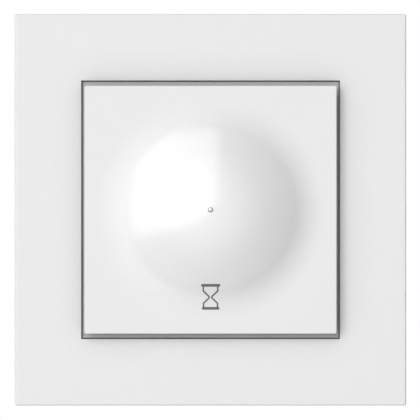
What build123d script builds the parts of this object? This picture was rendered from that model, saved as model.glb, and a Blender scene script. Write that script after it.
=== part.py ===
from build123d import *
import math
import os

os.makedirs("parts", exist_ok=True)

# Timer switch: a flush-mounted, sprung push key over a relay insert for a 60 mm wall box.
# Lengths are in millimetres and angles in degrees.
# Each piece is drawn lying on its back: x runs right, y up the wall, z out of the wall.
# The wall is z = 0. write_part stands the piece up, so its front faces -Y and Z is up.

# Cover frame
FRAME_SIDE = 84.0
FRAME_HEIGHT = 9.5
FRAME_FRONT_WALL = 2.0
FRAME_SIDE_WALL = 1.8
FRAME_CORNER_R = 0.5
FRAME_EDGE_R = 0.3
FRAME_DRAFT = 1.1
FRAME_RIB_WIDTH = 1.0
FRAME_RIB_HEIGHT = 1.2
FRAME_RIB_OFFSET = 20.0
WINDOW_SIDE = 55.25
WINDOW_EDGE_R = 0.15
COLLAR_WALL = 1.5
LEDGE_BOTTOM = 4.5
LEDGE_THICKNESS = 1.5

# Carrier ring
RING_INNER = 49.0
RING_INNER_R = 0.8
RING_WALL = 1.6
RING_FLANGE_THICKNESS = 2.4
RING_FLANGE_GAP = 0.08
RING_CORNER_R = 0.2
RING_WALL_GAP = 0.2
RING_EDGE_R = 0.15
ARM_WIDTH = 5.0
ARM_OFFSET = 7.0
ARM_NOSE = 0.6
ARM_NOSE_HEIGHT = 1.4
ARM_CLEARANCE = 0.3

# Key
KEY_SIDE_GAP = 0.65
KEY_END_GAP = 1.12
KEY_LIFT = 1.4
KEY_WALL = 1.7
KEY_CORNER_R = 0.4
KEY_EDGE_R = 0.15
DOME_FOOT_R = 24.0
DOME_TURN_R = 18.4
DOME_SLOPE = 30.0
SKIRT_GAP = 0.3
SKIRT_WALL = 1.3
SKIRT_DEPTH = 4.8
KEY_RIB_WIDTH = 1.0
KEY_RIB_BOTTOM = 8.6
PRESS_ANGLE = 1.35
HINGE_INSET = 3.0
HINGE_HEIGHT = 5.0
HINGE_PIN_R = 1.0
HINGE_PIN_LENGTH = 1.5
HINGE_FIT = 0.05
HINGE_EAR_WIDTH = 4.4
HINGE_EAR_FLOOR = 0.5
STOP_OFFSET = 14.5
STOP_WIDTH = 5.0
STOP_REACH = 0.9
STOP_HEIGHT = 1.2
STOP_CLEARANCE = 0.1
STOP_WINDOW_TOP = 5.0
STOP_TRAVEL_MARGIN = 1.2

# Light guide
GUIDE_R = 1.2
GUIDE_TIP_R = 0.42
GUIDE_HOLE_R = 0.55
GUIDE_FIT = 0.05
GUIDE_SLEEVE_R = 2.3
GUIDE_SLEEVE_BOTTOM = 8.6
GUIDE_BOTTOM = 4.0
GUIDE_TIP_SINK = 0.03

# Key springs
SPRING_X = 8.0
SPRING_Y = -17.0
SPRING_MEAN_R = 2.15
SPRING_WIRE_R = 0.2
SPRING_TURNS = 5
SPRING_SEAT = 9.0
SPRING_SEAT_R = 2.8
SPRING_PIN_R = 1.7
SPRING_PIN_LENGTH = 1.4

# Mounting plate
PLATE_SIDE = 71.0
PLATE_THICKNESS = 1.2
PLATE_CORNER_R = 4.0
PLATE_NOTCH_WIDTH = 5.0
PLATE_NOTCH_DEPTH = 1.5
PLATE_NOTCH_OFFSET = 20.0
PLATE_OPENING = 40.0
PLATE_OPENING_R = 3.0
BOX_SCREW_SPACING = 60.0
SLOT_LENGTH = 6.0
SLOT_WIDTH = 3.8
PLATE_HOLE_R = 1.6
PLATE_HOLE_OFFSET = 29.0

# Housing of the insert
HOUSING_SIDE = 44.0
HOUSING_ROUND_R = 28.8
HOUSING_EDGE_R = 0.8
HOUSING_DEPTH = 24.0
HOUSING_WALL = 1.6
COVER_SKIRT_GAP = 0.3
COVER_CORNER_R = 2.0
COVER_THICKNESS = 1.8
COVER_COLLAR_WALL = 1.4
COVER_COLLAR_DEPTH = 1.9
COVER_FIT = 0.15
HOUSING_SCREW_X = 16.0
HOUSING_SCREW_HIGH_Y = 16.0
HOUSING_SCREW_LOW_Y = -7.6
HOUSING_SCREW_R = 1.2
HOUSING_SCREW_FIT = 0.05
HOUSING_SCREW_LENGTH = 12.0
HOUSING_SCREW_HEAD_R = 2.1
HOUSING_SCREW_HEAD_HEIGHT = 1.2
HOUSING_BOSS_R = 2.5
HOUSING_BOSS_GAP = 0.2
REAR_MARK_DEPTH = 0.4
REAR_PANEL_WIDTH = 26.0
REAR_PANEL_LENGTH = 16.0
REAR_PANEL_Y = 7.0
REAR_PANEL_R = 1.0
STRIP_GAUGE_LENGTH = 9.0
STRIP_GAUGE_WIDTH = 1.6
STRIP_GAUGE_Y = -6.5
EJECTOR_R = 1.5
EJECTOR_DEPTH = 0.15
EJECTOR_X = 17.0
EJECTOR_HIGH_Y = 16.0
EJECTOR_LOW_Y = -5.5
DRIVE_SLOT_WIDTH = 0.6
DRIVE_SLOT_DEPTH = 0.6

# Claws
CLAW_Y = -8.0
CLAW_PIVOT_X = 23.4
CLAW_PIVOT_DEPTH = 3.1
CLAW_PIVOT_R = 1.1
CLAW_WIDTH = 5.6
CLAW_THICKNESS = 1.0
CLAW_FOOT_WALL = 0.4
CLAW_LEG_LENGTH = 20.0
CLAW_TIP_REACH = 1.8
CLAW_SWING = 24.0
CLAW_SCREW_REACH = 2.6
CLAW_SLOT_WIDTH = 3.0
CLAW_SLOT_GAP = 0.05
CLAW_FORK_DEPTH = 7.6
CLAW_TOOTH = 0.8
CLAW_PIN_R = 0.8
CLAW_PIN_LENGTH = 1.0
CLAW_PIN_FIT = 0.05
CLAW_BRACKET_THICKNESS = 1.2
CLAW_BRACKET_GAP = 0.1
CLAW_BRACKET_REACH = 1.7
CLAW_SCREW_R = 1.3
CLAW_SCREW_LENGTH = 9.5
CLAW_SCREW_HEAD_R = 2.5
CLAW_SCREW_HEAD_HEIGHT = 1.6
CLAW_SCREW_CLEARANCE = 0.2
RING_NOTCH_CLEARANCE = 0.5

# Terminals
TERMINAL_COUNT = 4
TERMINAL_PITCH = 8.4
TERMINAL_PARTITION = 1.2
PORT_SIDE = 4.6
PORT_DEPTH = 4.4
CAGE_WIDTH = 6.2
CAGE_LENGTH = 5.0
CAGE_WALL = 1.0
CAGE_THREAD_WALL = 1.2
CAGE_GAP = 0.2
CAGE_TAG_GAP = 0.5
CAGE_HEAD_GAP = 1.7
CAGE_TRAVEL = 3.0
CAGE_CLOSED_GAP = 0.3
TAG_WIDTH = 4.0
TAG_THICKNESS = 0.8
TERMINAL_SCREW_R = 1.5
TERMINAL_SCREW_FIT = 0.05
TERMINAL_HEAD_R = 2.1
TERMINAL_HEAD_HEIGHT = 1.9
TERMINAL_HEAD_SINK = 0.2
TERMINAL_HOLE_CLEARANCE = 0.2
BLOCK_TOP_DEPTH = 8.6
BLOCK_REAR_WALL = 1.0
BLOCK_FIT = 0.1

# Boards and what they carry
CONTROL_THICKNESS = 1.2
CONTROL_GAP = 0.2
CONTROL_SUPPORT_WIDTH = 8.0
POWER_TOP_DEPTH = 5.4
POWER_THICKNESS = 1.6
POWER_GAP = 0.3
POWER_SUPPORT_WIDTH = 3.0
BOARD_NOTCH_GAP = 0.3
TACT_ARM = 12.0
TACT_SIDE = 6.0
TACT_HEIGHT = 3.5
TACT_PLUNGER_R = 1.7
TACT_PLUNGER_HEIGHT = 1.5
TACT_PLUNGER_EDGE_R = 0.1
TACT_PLUNGER_FIT = 0.1
TACT_PLUNGER_SUNK = 0.6
TACT_WINDOW_GAP = 0.3
ACTUATOR_R = 2.0
ACTUATOR_GAP = 0.1
LED_LENGTH = 3.2
LED_WIDTH = 2.8
LED_HEIGHT = 1.6
LED_LENS_INSET = 0.1
LED_WINDOW_R = 2.2
TRIMMER_X = 11.0
TRIMMER_Y = 2.0
TRIMMER_SIDE = 6.5
TRIMMER_HEIGHT = 2.4
TRIMMER_ROTOR_R = 2.3
TRIMMER_ROTOR_HEIGHT = 1.0
TRIMMER_ROTOR_FIT = 0.05
TRIMMER_ROTOR_SUNK = 0.5
TRIMMER_WINDOW_GAP = 0.3
CHIP_X = -10.0
CHIP_Y = -6.0
CHIP_LENGTH = 5.0
CHIP_WIDTH = 4.0
CHIP_HEIGHT = 1.0
HEADER_X = -15.0
HEADER_Y = 3.0
HEADER_PINS = 5
HEADER_PITCH = 2.54
HEADER_BODY_HEIGHT = 2.5
HEADER_BODY_WIDTH = 2.4
HEADER_PIN_SIDE = 0.64
RELAY_X = -7.8
RELAY_Y = 3.0
RELAY_WIDTH = 10.2
RELAY_LENGTH = 18.4
RELAY_FLOOR_GAP = 0.4
FILM_X = 0.6
FILM_Y = -1.0
FILM_WIDTH = 6.0
FILM_LENGTH = 13.0
FILM_HEIGHT = 12.0
ELECTROLYTIC_X = 10.2
ELECTROLYTIC_Y = 12.5
ELECTROLYTIC_R = 4.0
ELECTROLYTIC_HEIGHT = 11.5
VARISTOR_X = 1.2
VARISTOR_Y = 16.5
VARISTOR_R = 4.5
VARISTOR_THICKNESS = 3.6
VARISTOR_LEAD_R = 0.4
VARISTOR_LEAD_LENGTH = 2.5
FUSE_X = 10.8
FUSE_Y = 2.5
FUSE_R = 4.2
FUSE_HEIGHT = 8.0

# How near two places count as one when an edge is looked up
SAME_PLACE = 0.01

# Levels that follow from the sizes above, measured out of the wall
LEDGE_TOP = LEDGE_BOTTOM + LEDGE_THICKNESS
RING_TOP = LEDGE_TOP + RING_FLANGE_THICKNESS
KEY_UNDER = RING_TOP + KEY_LIFT
KEY_FRONT = KEY_UNDER + KEY_WALL
COVER_TOP = PLATE_THICKNESS + COVER_THICKNESS
FLOOR_INSIDE = -HOUSING_DEPTH + HOUSING_WALL
POWER_UNDER = -POWER_TOP_DEPTH - POWER_THICKNESS
RELAY_HEIGHT = POWER_UNDER - FLOOR_INSIDE - RELAY_FLOOR_GAP
TERMINAL_HEAD_FRONT = -HOUSING_DEPTH + TERMINAL_HEAD_SINK + TERMINAL_HEAD_HEIGHT
CAGE_LOWEST = TERMINAL_HEAD_FRONT + CAGE_HEAD_GAP
TAG_DEPTH = -(CAGE_LOWEST + CAGE_TRAVEL + CAGE_THREAD_WALL + CAGE_TAG_GAP)

# Widths and places that follow
KEY_WIDTH = WINDOW_SIDE - 2 * KEY_SIDE_GAP
KEY_LENGTH = WINDOW_SIDE - 2 * KEY_END_GAP
RING_OUTER = RING_INNER + 2 * RING_WALL
SKIRT_OUTER = RING_INNER - 2 * SKIRT_GAP
SKIRT_INNER = SKIRT_OUTER - 2 * SKIRT_WALL
COVER_SIDE = SKIRT_INNER - 2 * COVER_SKIRT_GAP
HINGE_Y = RING_INNER / 2 - HINGE_INSET
TACT_Y = HINGE_Y - TACT_ARM
TACT_TRAVEL = TACT_ARM * math.radians(PRESS_ANGLE)
CLAW_SCREW_X = CLAW_PIVOT_X + CLAW_SCREW_REACH
HOUSING_INSIDE = HOUSING_SIDE - 2 * HOUSING_WALL
BLOCK_WIDTH = TERMINAL_COUNT * TERMINAL_PITCH + TERMINAL_PARTITION
CAGE_Y = -HOUSING_SIDE / 2 + PORT_DEPTH + CAGE_GAP + CAGE_LENGTH / 2
REAR_WALL_Y = CAGE_Y + CAGE_LENGTH / 2 + CAGE_GAP
WIRE_SPACE = CAGE_TRAVEL + CAGE_CLOSED_GAP
WIRE_Z = -TAG_DEPTH + TAG_THICKNESS + WIRE_SPACE / 2

# Radii of the dome's section: a crown that curves out, then a foot that curves in to the flat key
SLOPE_SINE = math.sin(math.radians(DOME_SLOPE))
CROWN_R = DOME_TURN_R / SLOPE_SINE
FOOT_BLEND_R = (DOME_FOOT_R - DOME_TURN_R) / SLOPE_SINE
DOME_HEIGHT = (CROWN_R + FOOT_BLEND_R) * (1 - math.cos(math.radians(DOME_SLOPE)))
DOME_TOP = KEY_FRONT + DOME_HEIGHT


def prism(outline, low, high):
    """The outline, drawn on the wall plane, as a solid from one level to another."""
    return extrude(Pos(0, 0, low) * outline, high - low)


def slab(width, length, low, high, corner=0.0, at=(0.0, 0.0)):
    """A flat block centred at a place on the wall plane, with rounded upright edges."""
    outline = RectangleRounded(width, length, corner) if corner else Rectangle(width, length)
    return prism(Pos(*at) * outline, low, high)


def pillar(radius, low, high, at=(0.0, 0.0)):
    """A round post or hole from one level to another."""
    return prism(Pos(*at) * Circle(radius), low, high)


def at_level(edges, level):
    """The edges whose middle lies in one level."""
    return [edge for edge in edges if abs(edge.center().Z - level) < SAME_PLACE]


def round_edges(solid, radius, level):
    """Rounds every edge that lies in one level."""
    flat = [edge for edge in solid.edges() if edge.bounding_box().size.Z < SAME_PLACE]
    return fillet(at_level(flat, level), radius)


def cross_slot(radius, low, high, at):
    """A cutter for the cross of a driver in a screw head."""
    arm = slab(2 * radius, DRIVE_SLOT_WIDTH, low, high, at=at)
    return arm + slab(DRIVE_SLOT_WIDTH, 2 * radius, low, high, at=at)


def screw_places():
    """The four places of the housing screws: the lower pair stands clear of the terminals."""
    heights = (HOUSING_SCREW_LOW_Y, HOUSING_SCREW_HIGH_Y)
    return [(x, y) for x in (-HOUSING_SCREW_X, HOUSING_SCREW_X) for y in heights]


def write_part(name, solid):
    """Stands the piece up on the wall and writes it under its name."""
    standing = Rot(X=90) * solid
    standing.label = name
    export_step(standing, f"parts/{name}.step")


def cover_frame():
    """Hollow square frame with drafted sides, a collar round the window and a ledge that holds it."""
    outline = RectangleRounded(FRAME_SIDE, FRAME_SIDE, FRAME_CORNER_R)
    body = extrude(outline, FRAME_HEIGHT, taper=FRAME_DRAFT)
    body = round_edges(body, FRAME_EDGE_R, FRAME_HEIGHT)
    inside = FRAME_SIDE - 2 * FRAME_SIDE_WALL
    ceiling = FRAME_HEIGHT - FRAME_FRONT_WALL
    body -= slab(inside, inside, 0, ceiling, FRAME_CORNER_R)
    collar_side = WINDOW_SIDE + 2 * COLLAR_WALL
    body += slab(collar_side, collar_side, LEDGE_BOTTOM, ceiling, COLLAR_WALL)
    rib_length = (inside - collar_side) / 2
    rib_centre = (inside + collar_side) / 4
    for turn in range(4):
        for offset in (-FRAME_RIB_OFFSET, FRAME_RIB_OFFSET):
            rib = slab(
                rib_length, FRAME_RIB_WIDTH, ceiling - FRAME_RIB_HEIGHT, ceiling,
                at=(rib_centre, offset),
            )
            body += Rot(Z=90 * turn) * rib
    body -= slab(WINDOW_SIDE, WINDOW_SIDE, LEDGE_TOP, FRAME_HEIGHT)
    ledge_opening = RING_OUTER + 2 * RING_WALL_GAP
    body -= slab(ledge_opening, ledge_opening, LEDGE_BOTTOM, LEDGE_TOP, RING_INNER_R)
    halfway = (FRAME_SIDE + WINDOW_SIDE) / 4
    rim = at_level(body.edges(), FRAME_HEIGHT)
    window = [edge for edge in rim if max(abs(edge.center().X), abs(edge.center().Y)) < halfway]
    return fillet(window, WINDOW_EDGE_R)


def ring_arm():
    """One snap arm of the ring, with the nose that catches under the mounting plate."""
    wall_middle = (RING_INNER + RING_WALL) / 2
    nose_top = -STOP_CLEARANCE
    bottom = nose_top - ARM_NOSE_HEIGHT
    outside = wall_middle + RING_WALL / 2
    inside = wall_middle - RING_WALL / 2
    section = Polyline(
        (inside, PLATE_THICKNESS),
        (outside, PLATE_THICKNESS),
        (outside, nose_top),
        (outside + ARM_NOSE, nose_top),
        (outside, bottom),
        (inside, bottom),
        close=True,
    )
    arm = extrude(Plane.YZ * make_face(section), ARM_WIDTH / 2, both=True)
    return Pos(ARM_OFFSET, 0, 0) * arm


def carrier_ring():
    """Fixed ring that holds the frame to the plate and carries the key's hinge."""
    flange_side = WINDOW_SIDE - 2 * RING_FLANGE_GAP
    body = slab(flange_side, flange_side, LEDGE_TOP, RING_TOP, RING_CORNER_R)
    body += slab(RING_OUTER, RING_OUTER, PLATE_THICKNESS, LEDGE_TOP, RING_INNER_R)
    body -= slab(RING_INNER, RING_INNER, PLATE_THICKNESS, RING_TOP, RING_INNER_R)
    body = round_edges(body, RING_EDGE_R, RING_TOP)
    for side in (0, 180):
        body += Rot(Z=side) * ring_arm()
        body += Rot(Z=side) * mirror(ring_arm(), Plane.YZ)
    bore = Cylinder(HINGE_PIN_R + HINGE_FIT, RING_OUTER + 2 * RING_WALL, rotation=(0, 90, 0))
    body -= Pos(0, HINGE_Y, HINGE_HEIGHT) * bore
    stop_travel = STOP_TRAVEL_MARGIN * math.radians(PRESS_ANGLE) * (HINGE_Y + RING_INNER / 2)
    window_height = STOP_HEIGHT + STOP_CLEARANCE + stop_travel
    for x in (-STOP_OFFSET, STOP_OFFSET):
        body -= slab(
            STOP_WIDTH + 2 * ARM_CLEARANCE, 2 * RING_WALL,
            STOP_WINDOW_TOP - window_height, STOP_WINDOW_TOP,
            at=(x, -(RING_INNER + RING_WALL) / 2),
        )
    notch = 2 * (CLAW_SCREW_HEAD_R + RING_NOTCH_CLEARANCE)
    notch_top = PLATE_THICKNESS + CLAW_SCREW_HEAD_HEIGHT + RING_NOTCH_CLEARANCE
    for x in (-CLAW_SCREW_X, CLAW_SCREW_X):
        body -= slab(notch, notch, PLATE_THICKNESS, notch_top, at=(x, CLAW_Y))
    return body


def dome_curve(depth):
    """Half section of the dome, moved into the wall by a depth, from its top out to its foot."""
    crown_centre = DOME_TOP - CROWN_R
    blend_centre = KEY_FRONT + FOOT_BLEND_R
    crown_r = CROWN_R - depth
    blend_r = FOOT_BLEND_R + depth

    def on_crown(angle):
        turn = math.radians(angle)
        return (crown_r * math.sin(turn), crown_centre + crown_r * math.cos(turn))

    def on_foot(angle):
        turn = math.radians(angle)
        return (DOME_FOOT_R - blend_r * math.sin(turn), blend_centre - blend_r * math.cos(turn))

    crown = ThreePointArc(on_crown(0), on_crown(DOME_SLOPE / 2), on_crown(DOME_SLOPE))
    foot = ThreePointArc(on_crown(DOME_SLOPE), on_foot(DOME_SLOPE / 2), on_foot(0))
    return crown, foot


def dome_shell():
    """The domed wall, turned from the band between its outer and its inner section."""
    crown, foot = dome_curve(0)
    inner_crown, inner_foot = dome_curve(KEY_WALL)
    rim = Line(foot @ 1, inner_foot @ 1)
    middle = Line(inner_crown @ 0, crown @ 0)
    band = make_face(Curve() + [crown, foot, rim, inner_foot, inner_crown, middle])
    return revolve(Plane.XZ * band, Axis.Z)


def dome_core():
    """The space from the wall plane up to the middle of the domed wall, which trims ribs and posts."""
    crown, foot = dome_curve(KEY_WALL / 2)
    rim = Line(foot @ 1, (DOME_FOOT_R, 0))
    floor = Line((DOME_FOOT_R, 0), (0, 0))
    middle = Line((0, 0), crown @ 0)
    section = make_face(Curve() + [crown, foot, rim, floor, middle])
    return revolve(Plane.XZ * section, Axis.Z)


def key_cap():
    """The push key: plate and dome in one shell, with skirt, hinge pins, stops, ribs and posts."""
    plate = slab(KEY_WIDTH, KEY_LENGTH, KEY_UNDER, KEY_FRONT, KEY_CORNER_R)
    plate = round_edges(plate, KEY_EDGE_R, KEY_FRONT)
    plate -= pillar(DOME_FOOT_R, KEY_UNDER, KEY_FRONT)
    body = plate + dome_shell()

    skirt_bottom = KEY_UNDER - SKIRT_DEPTH
    skirt_top = KEY_UNDER + KEY_WALL / 3
    skirt = slab(SKIRT_OUTER, SKIRT_OUTER, skirt_bottom, skirt_top, RING_INNER_R)
    ear_x = (SKIRT_OUTER - SKIRT_WALL) / 2
    ear_bottom = HINGE_HEIGHT - HINGE_PIN_R - HINGE_EAR_FLOOR
    for x in (-ear_x, ear_x):
        skirt += slab(SKIRT_WALL, HINGE_EAR_WIDTH, ear_bottom, skirt_top, at=(x, HINGE_Y))
    stop_top = STOP_WINDOW_TOP - STOP_CLEARANCE
    stop_bottom = stop_top - STOP_HEIGHT
    stop_y = -(SKIRT_OUTER - SKIRT_WALL) / 2
    for x in (-STOP_OFFSET, STOP_OFFSET):
        skirt += slab(STOP_WIDTH, SKIRT_WALL, stop_bottom, skirt_top, at=(x, stop_y))
        nose_y = stop_y - STOP_REACH / 2
        skirt += slab(STOP_WIDTH, SKIRT_WALL + STOP_REACH, stop_bottom, stop_top, at=(x, nose_y))
    skirt -= slab(SKIRT_INNER, SKIRT_INNER, 0, skirt_top, RING_INNER_R)
    pin = Cylinder(HINGE_PIN_R, SKIRT_WALL + HINGE_PIN_LENGTH, rotation=(0, 90, 0))
    pin_x = (SKIRT_OUTER + HINGE_PIN_LENGTH - SKIRT_WALL) / 2
    for x in (-pin_x, pin_x):
        skirt += Pos(x, HINGE_Y, HINGE_HEIGHT) * pin

    inner = pillar(GUIDE_SLEEVE_R, GUIDE_SLEEVE_BOTTOM, DOME_TOP)
    inner += pillar(ACTUATOR_R, actuator_end(), DOME_TOP, at=(0, TACT_Y))
    inner += slab(SKIRT_INNER, KEY_RIB_WIDTH, KEY_RIB_BOTTOM, DOME_TOP)
    inner += slab(KEY_RIB_WIDTH, SKIRT_INNER, KEY_RIB_BOTTOM, DOME_TOP)
    for x in (-SPRING_X, SPRING_X):
        inner += pillar(SPRING_SEAT_R, SPRING_SEAT, DOME_TOP, at=(x, SPRING_Y))
        inner += pillar(SPRING_PIN_R, SPRING_SEAT - SPRING_PIN_LENGTH, SPRING_SEAT, at=(x, SPRING_Y))
    body += skirt + (inner & dome_core())

    body -= pillar(GUIDE_R + GUIDE_FIT, 0, DOME_TOP - KEY_WALL)
    return body - pillar(GUIDE_HOLE_R, 0, DOME_TOP + KEY_WALL)


def actuator_end():
    """Level of the key's post over the switch plunger."""
    return TACT_HEIGHT + TACT_PLUNGER_HEIGHT + ACTUATOR_GAP


def light_guide():
    """Clear stepped rod from the indicator light to the middle of the dome."""
    shoulder = DOME_TOP - KEY_WALL
    rod = pillar(GUIDE_R, GUIDE_BOTTOM, shoulder)
    return rod + pillar(GUIDE_TIP_R, shoulder, DOME_TOP - GUIDE_TIP_SINK)


def key_spring(x):
    """Compression spring between the housing cover and the key."""
    low = COVER_TOP + SPRING_WIRE_R
    height = SPRING_SEAT - SPRING_WIRE_R - low
    path = Helix(height / SPRING_TURNS, height, SPRING_MEAN_R)
    wire = Plane(path @ 0, z_dir=path % 0) * Circle(SPRING_WIRE_R)
    return Pos(x, SPRING_Y, low) * sweep(wire, path, is_frenet=True)


def mounting_plate():
    """Steel plate with the box screw slots, the window of the insert and the snap and claw holes."""
    outline = RectangleRounded(PLATE_SIDE, PLATE_SIDE, PLATE_CORNER_R)
    outline -= RectangleRounded(PLATE_OPENING, PLATE_OPENING, PLATE_OPENING_R)
    slot = Pos(BOX_SCREW_SPACING / 2, 0) * SlotOverall(SLOT_LENGTH, SLOT_WIDTH)
    notches = [
        Pos(PLATE_SIDE / 2, y) * Rectangle(2 * PLATE_NOTCH_DEPTH, PLATE_NOTCH_WIDTH)
        for y in (-PLATE_NOTCH_OFFSET, PLATE_NOTCH_OFFSET)
    ]
    for turn in range(4):
        for cut in [slot] + notches:
            outline -= Rot(Z=90 * turn) * cut
    arm_y = (RING_INNER + RING_WALL) / 2
    arm_window = Rectangle(ARM_WIDTH + 2 * ARM_CLEARANCE, RING_WALL + 2 * ARM_CLEARANCE)
    for x in (-ARM_OFFSET, ARM_OFFSET):
        for y in (-arm_y, arm_y):
            outline -= Pos(x, y) * arm_window
    for x in (-CLAW_SCREW_X, CLAW_SCREW_X):
        outline -= Pos(x, CLAW_Y) * Circle(CLAW_SCREW_R + CLAW_SCREW_CLEARANCE)
    for x in (-PLATE_HOLE_OFFSET, PLATE_HOLE_OFFSET):
        for y in (-PLATE_HOLE_OFFSET, PLATE_HOLE_OFFSET):
            outline -= Pos(x, y) * Circle(PLATE_HOLE_R)
    return prism(outline, 0, PLATE_THICKNESS)


def housing_outline(inset=0.0):
    """Outline of the insert: a square whose corners follow the round wall box."""
    side = HOUSING_SIDE - 2 * inset
    return Rectangle(side, side) & Circle(HOUSING_ROUND_R - inset)


def claw_bracket(y):
    """One ear on the side of the housing, with the bore for a claw's pin."""
    top = -STOP_CLEARANCE
    reach = CLAW_PIVOT_X + CLAW_BRACKET_REACH
    bottom = -CLAW_PIVOT_DEPTH - CLAW_BRACKET_REACH
    section = Polyline(
        (HOUSING_SIDE / 2 - HOUSING_WALL / 2, top),
        (reach, top),
        (reach, bottom),
        (HOUSING_SIDE / 2 - HOUSING_WALL / 2, bottom - CLAW_BRACKET_REACH),
        close=True,
    )
    ear = extrude(Plane.XZ * make_face(section), CLAW_BRACKET_THICKNESS / 2, both=True)
    bore = Cylinder(CLAW_PIN_R + CLAW_PIN_FIT, 2 * CLAW_BRACKET_THICKNESS, rotation=(90, 0, 0))
    ear -= Pos(CLAW_PIVOT_X, 0, -CLAW_PIVOT_DEPTH) * bore
    return Pos(0, y, 0) * ear


def terminal_places():
    """The x of each terminal."""
    middle = (TERMINAL_COUNT - 1) / 2
    return [(i - middle) * TERMINAL_PITCH for i in range(TERMINAL_COUNT)]


def rear_marks():
    """Cutters for the sunk panel, the wire strip gauge and the ejector marks in the rear face."""
    low = -HOUSING_DEPTH
    high = low + REAR_MARK_DEPTH
    panel = slab(REAR_PANEL_WIDTH, REAR_PANEL_LENGTH, low, high, REAR_PANEL_R, at=(0, REAR_PANEL_Y))
    gauge = slab(STRIP_GAUGE_LENGTH, STRIP_GAUGE_WIDTH, low, high, at=(0, STRIP_GAUGE_Y))
    discs = [
        pillar(EJECTOR_R, low, low + EJECTOR_DEPTH, at=(x, y))
        for x in (-EJECTOR_X, EJECTOR_X)
        for y in (EJECTOR_LOW_Y, EJECTOR_HIGH_Y)
    ]
    return [panel, gauge] + discs


def housing_base():
    """Rear shell of the insert, open to the front, with bosses, board rests and claw brackets."""
    body = prism(housing_outline(), -HOUSING_DEPTH, 0)
    body = round_edges(body, HOUSING_EDGE_R, -HOUSING_DEPTH)
    for mark in rear_marks():
        body -= mark
    body -= prism(housing_outline(HOUSING_WALL), FLOOR_INSIDE, 0)
    boss_top = -COVER_COLLAR_DEPTH - HOUSING_BOSS_GAP
    for place in screw_places():
        body += pillar(HOUSING_BOSS_R, FLOOR_INSIDE, boss_top, at=place)
        body -= pillar(HOUSING_SCREW_R, COVER_TOP - HOUSING_SCREW_LENGTH - HOUSING_WALL, boss_top, at=place)
    rest_x = (HOUSING_INSIDE - HOUSING_WALL) / 2
    for x in (-rest_x, rest_x):
        body += slab(HOUSING_WALL, POWER_SUPPORT_WIDTH, FLOOR_INSIDE, POWER_UNDER, at=(x, 0))
    bracket_offset = (CLAW_WIDTH + CLAW_BRACKET_THICKNESS) / 2 + CLAW_BRACKET_GAP
    for y in (CLAW_Y - bracket_offset, CLAW_Y + bracket_offset):
        body += claw_bracket(y)
        body += mirror(claw_bracket(y), Plane.YZ)
    wall_y = -(HOUSING_SIDE - HOUSING_WALL) / 2
    body -= slab(
        BLOCK_WIDTH + 2 * BLOCK_FIT, 2 * HOUSING_WALL, FLOOR_INSIDE, -BLOCK_TOP_DEPTH + BLOCK_FIT,
        at=(0, wall_y),
    )
    for x in terminal_places():
        hole_r = TERMINAL_HEAD_R + TERMINAL_HOLE_CLEARANCE
        body -= pillar(hole_r, -HOUSING_DEPTH, FLOOR_INSIDE, at=(x, CAGE_Y))
    return body


def housing_cover():
    """Front cover of the insert, with windows for the switch, the light and the adjuster."""
    body = slab(COVER_SIDE, COVER_SIDE, PLATE_THICKNESS, COVER_TOP, COVER_CORNER_R)
    collar_side = PLATE_OPENING - 2 * COVER_FIT
    collar_inside = collar_side - 2 * COVER_COLLAR_WALL
    collar = slab(collar_side, collar_side, -COVER_COLLAR_DEPTH, PLATE_THICKNESS, PLATE_OPENING_R)
    collar -= slab(
        collar_inside, collar_inside, -COVER_COLLAR_DEPTH, PLATE_THICKNESS,
        PLATE_OPENING_R - COVER_COLLAR_WALL,
    )
    body += collar
    rest_x = (collar_inside - COVER_COLLAR_WALL) / 2
    for x in (-rest_x, rest_x):
        body += slab(COVER_COLLAR_WALL, CONTROL_SUPPORT_WIDTH, 0, PLATE_THICKNESS, at=(x, 0))
    for place in screw_places():
        body += pillar(HOUSING_BOSS_R, -COVER_COLLAR_DEPTH, PLATE_THICKNESS, at=place)
        body -= pillar(HOUSING_SCREW_R + HOUSING_SCREW_FIT, -COVER_COLLAR_DEPTH, COVER_TOP, at=place)
        sink_r = HOUSING_SCREW_HEAD_R + HOUSING_SCREW_FIT
        body -= pillar(sink_r, COVER_TOP - HOUSING_SCREW_HEAD_HEIGHT, COVER_TOP, at=place)
    for x in (-SPRING_X, SPRING_X):
        body += pillar(SPRING_PIN_R, COVER_TOP, COVER_TOP + SPRING_PIN_LENGTH, at=(x, SPRING_Y))
    tact_window = TACT_SIDE + 2 * TACT_WINDOW_GAP
    body -= slab(tact_window, tact_window, PLATE_THICKNESS, COVER_TOP, at=(0, TACT_Y))
    trimmer_window = TRIMMER_SIDE + 2 * TRIMMER_WINDOW_GAP
    body -= slab(trimmer_window, trimmer_window, PLATE_THICKNESS, COVER_TOP, at=(TRIMMER_X, TRIMMER_Y))
    return body - pillar(LED_WINDOW_R, PLATE_THICKNESS, COVER_TOP)


def housing_screw(place):
    """Sunk screw that clamps cover, plate and base together."""
    body = pillar(HOUSING_SCREW_R, COVER_TOP - HOUSING_SCREW_LENGTH, COVER_TOP, at=place)
    body += pillar(HOUSING_SCREW_HEAD_R, COVER_TOP - HOUSING_SCREW_HEAD_HEIGHT, COVER_TOP, at=place)
    return body - cross_slot(HOUSING_SCREW_R, COVER_TOP - DRIVE_SLOT_DEPTH, COVER_TOP, place)


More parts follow.
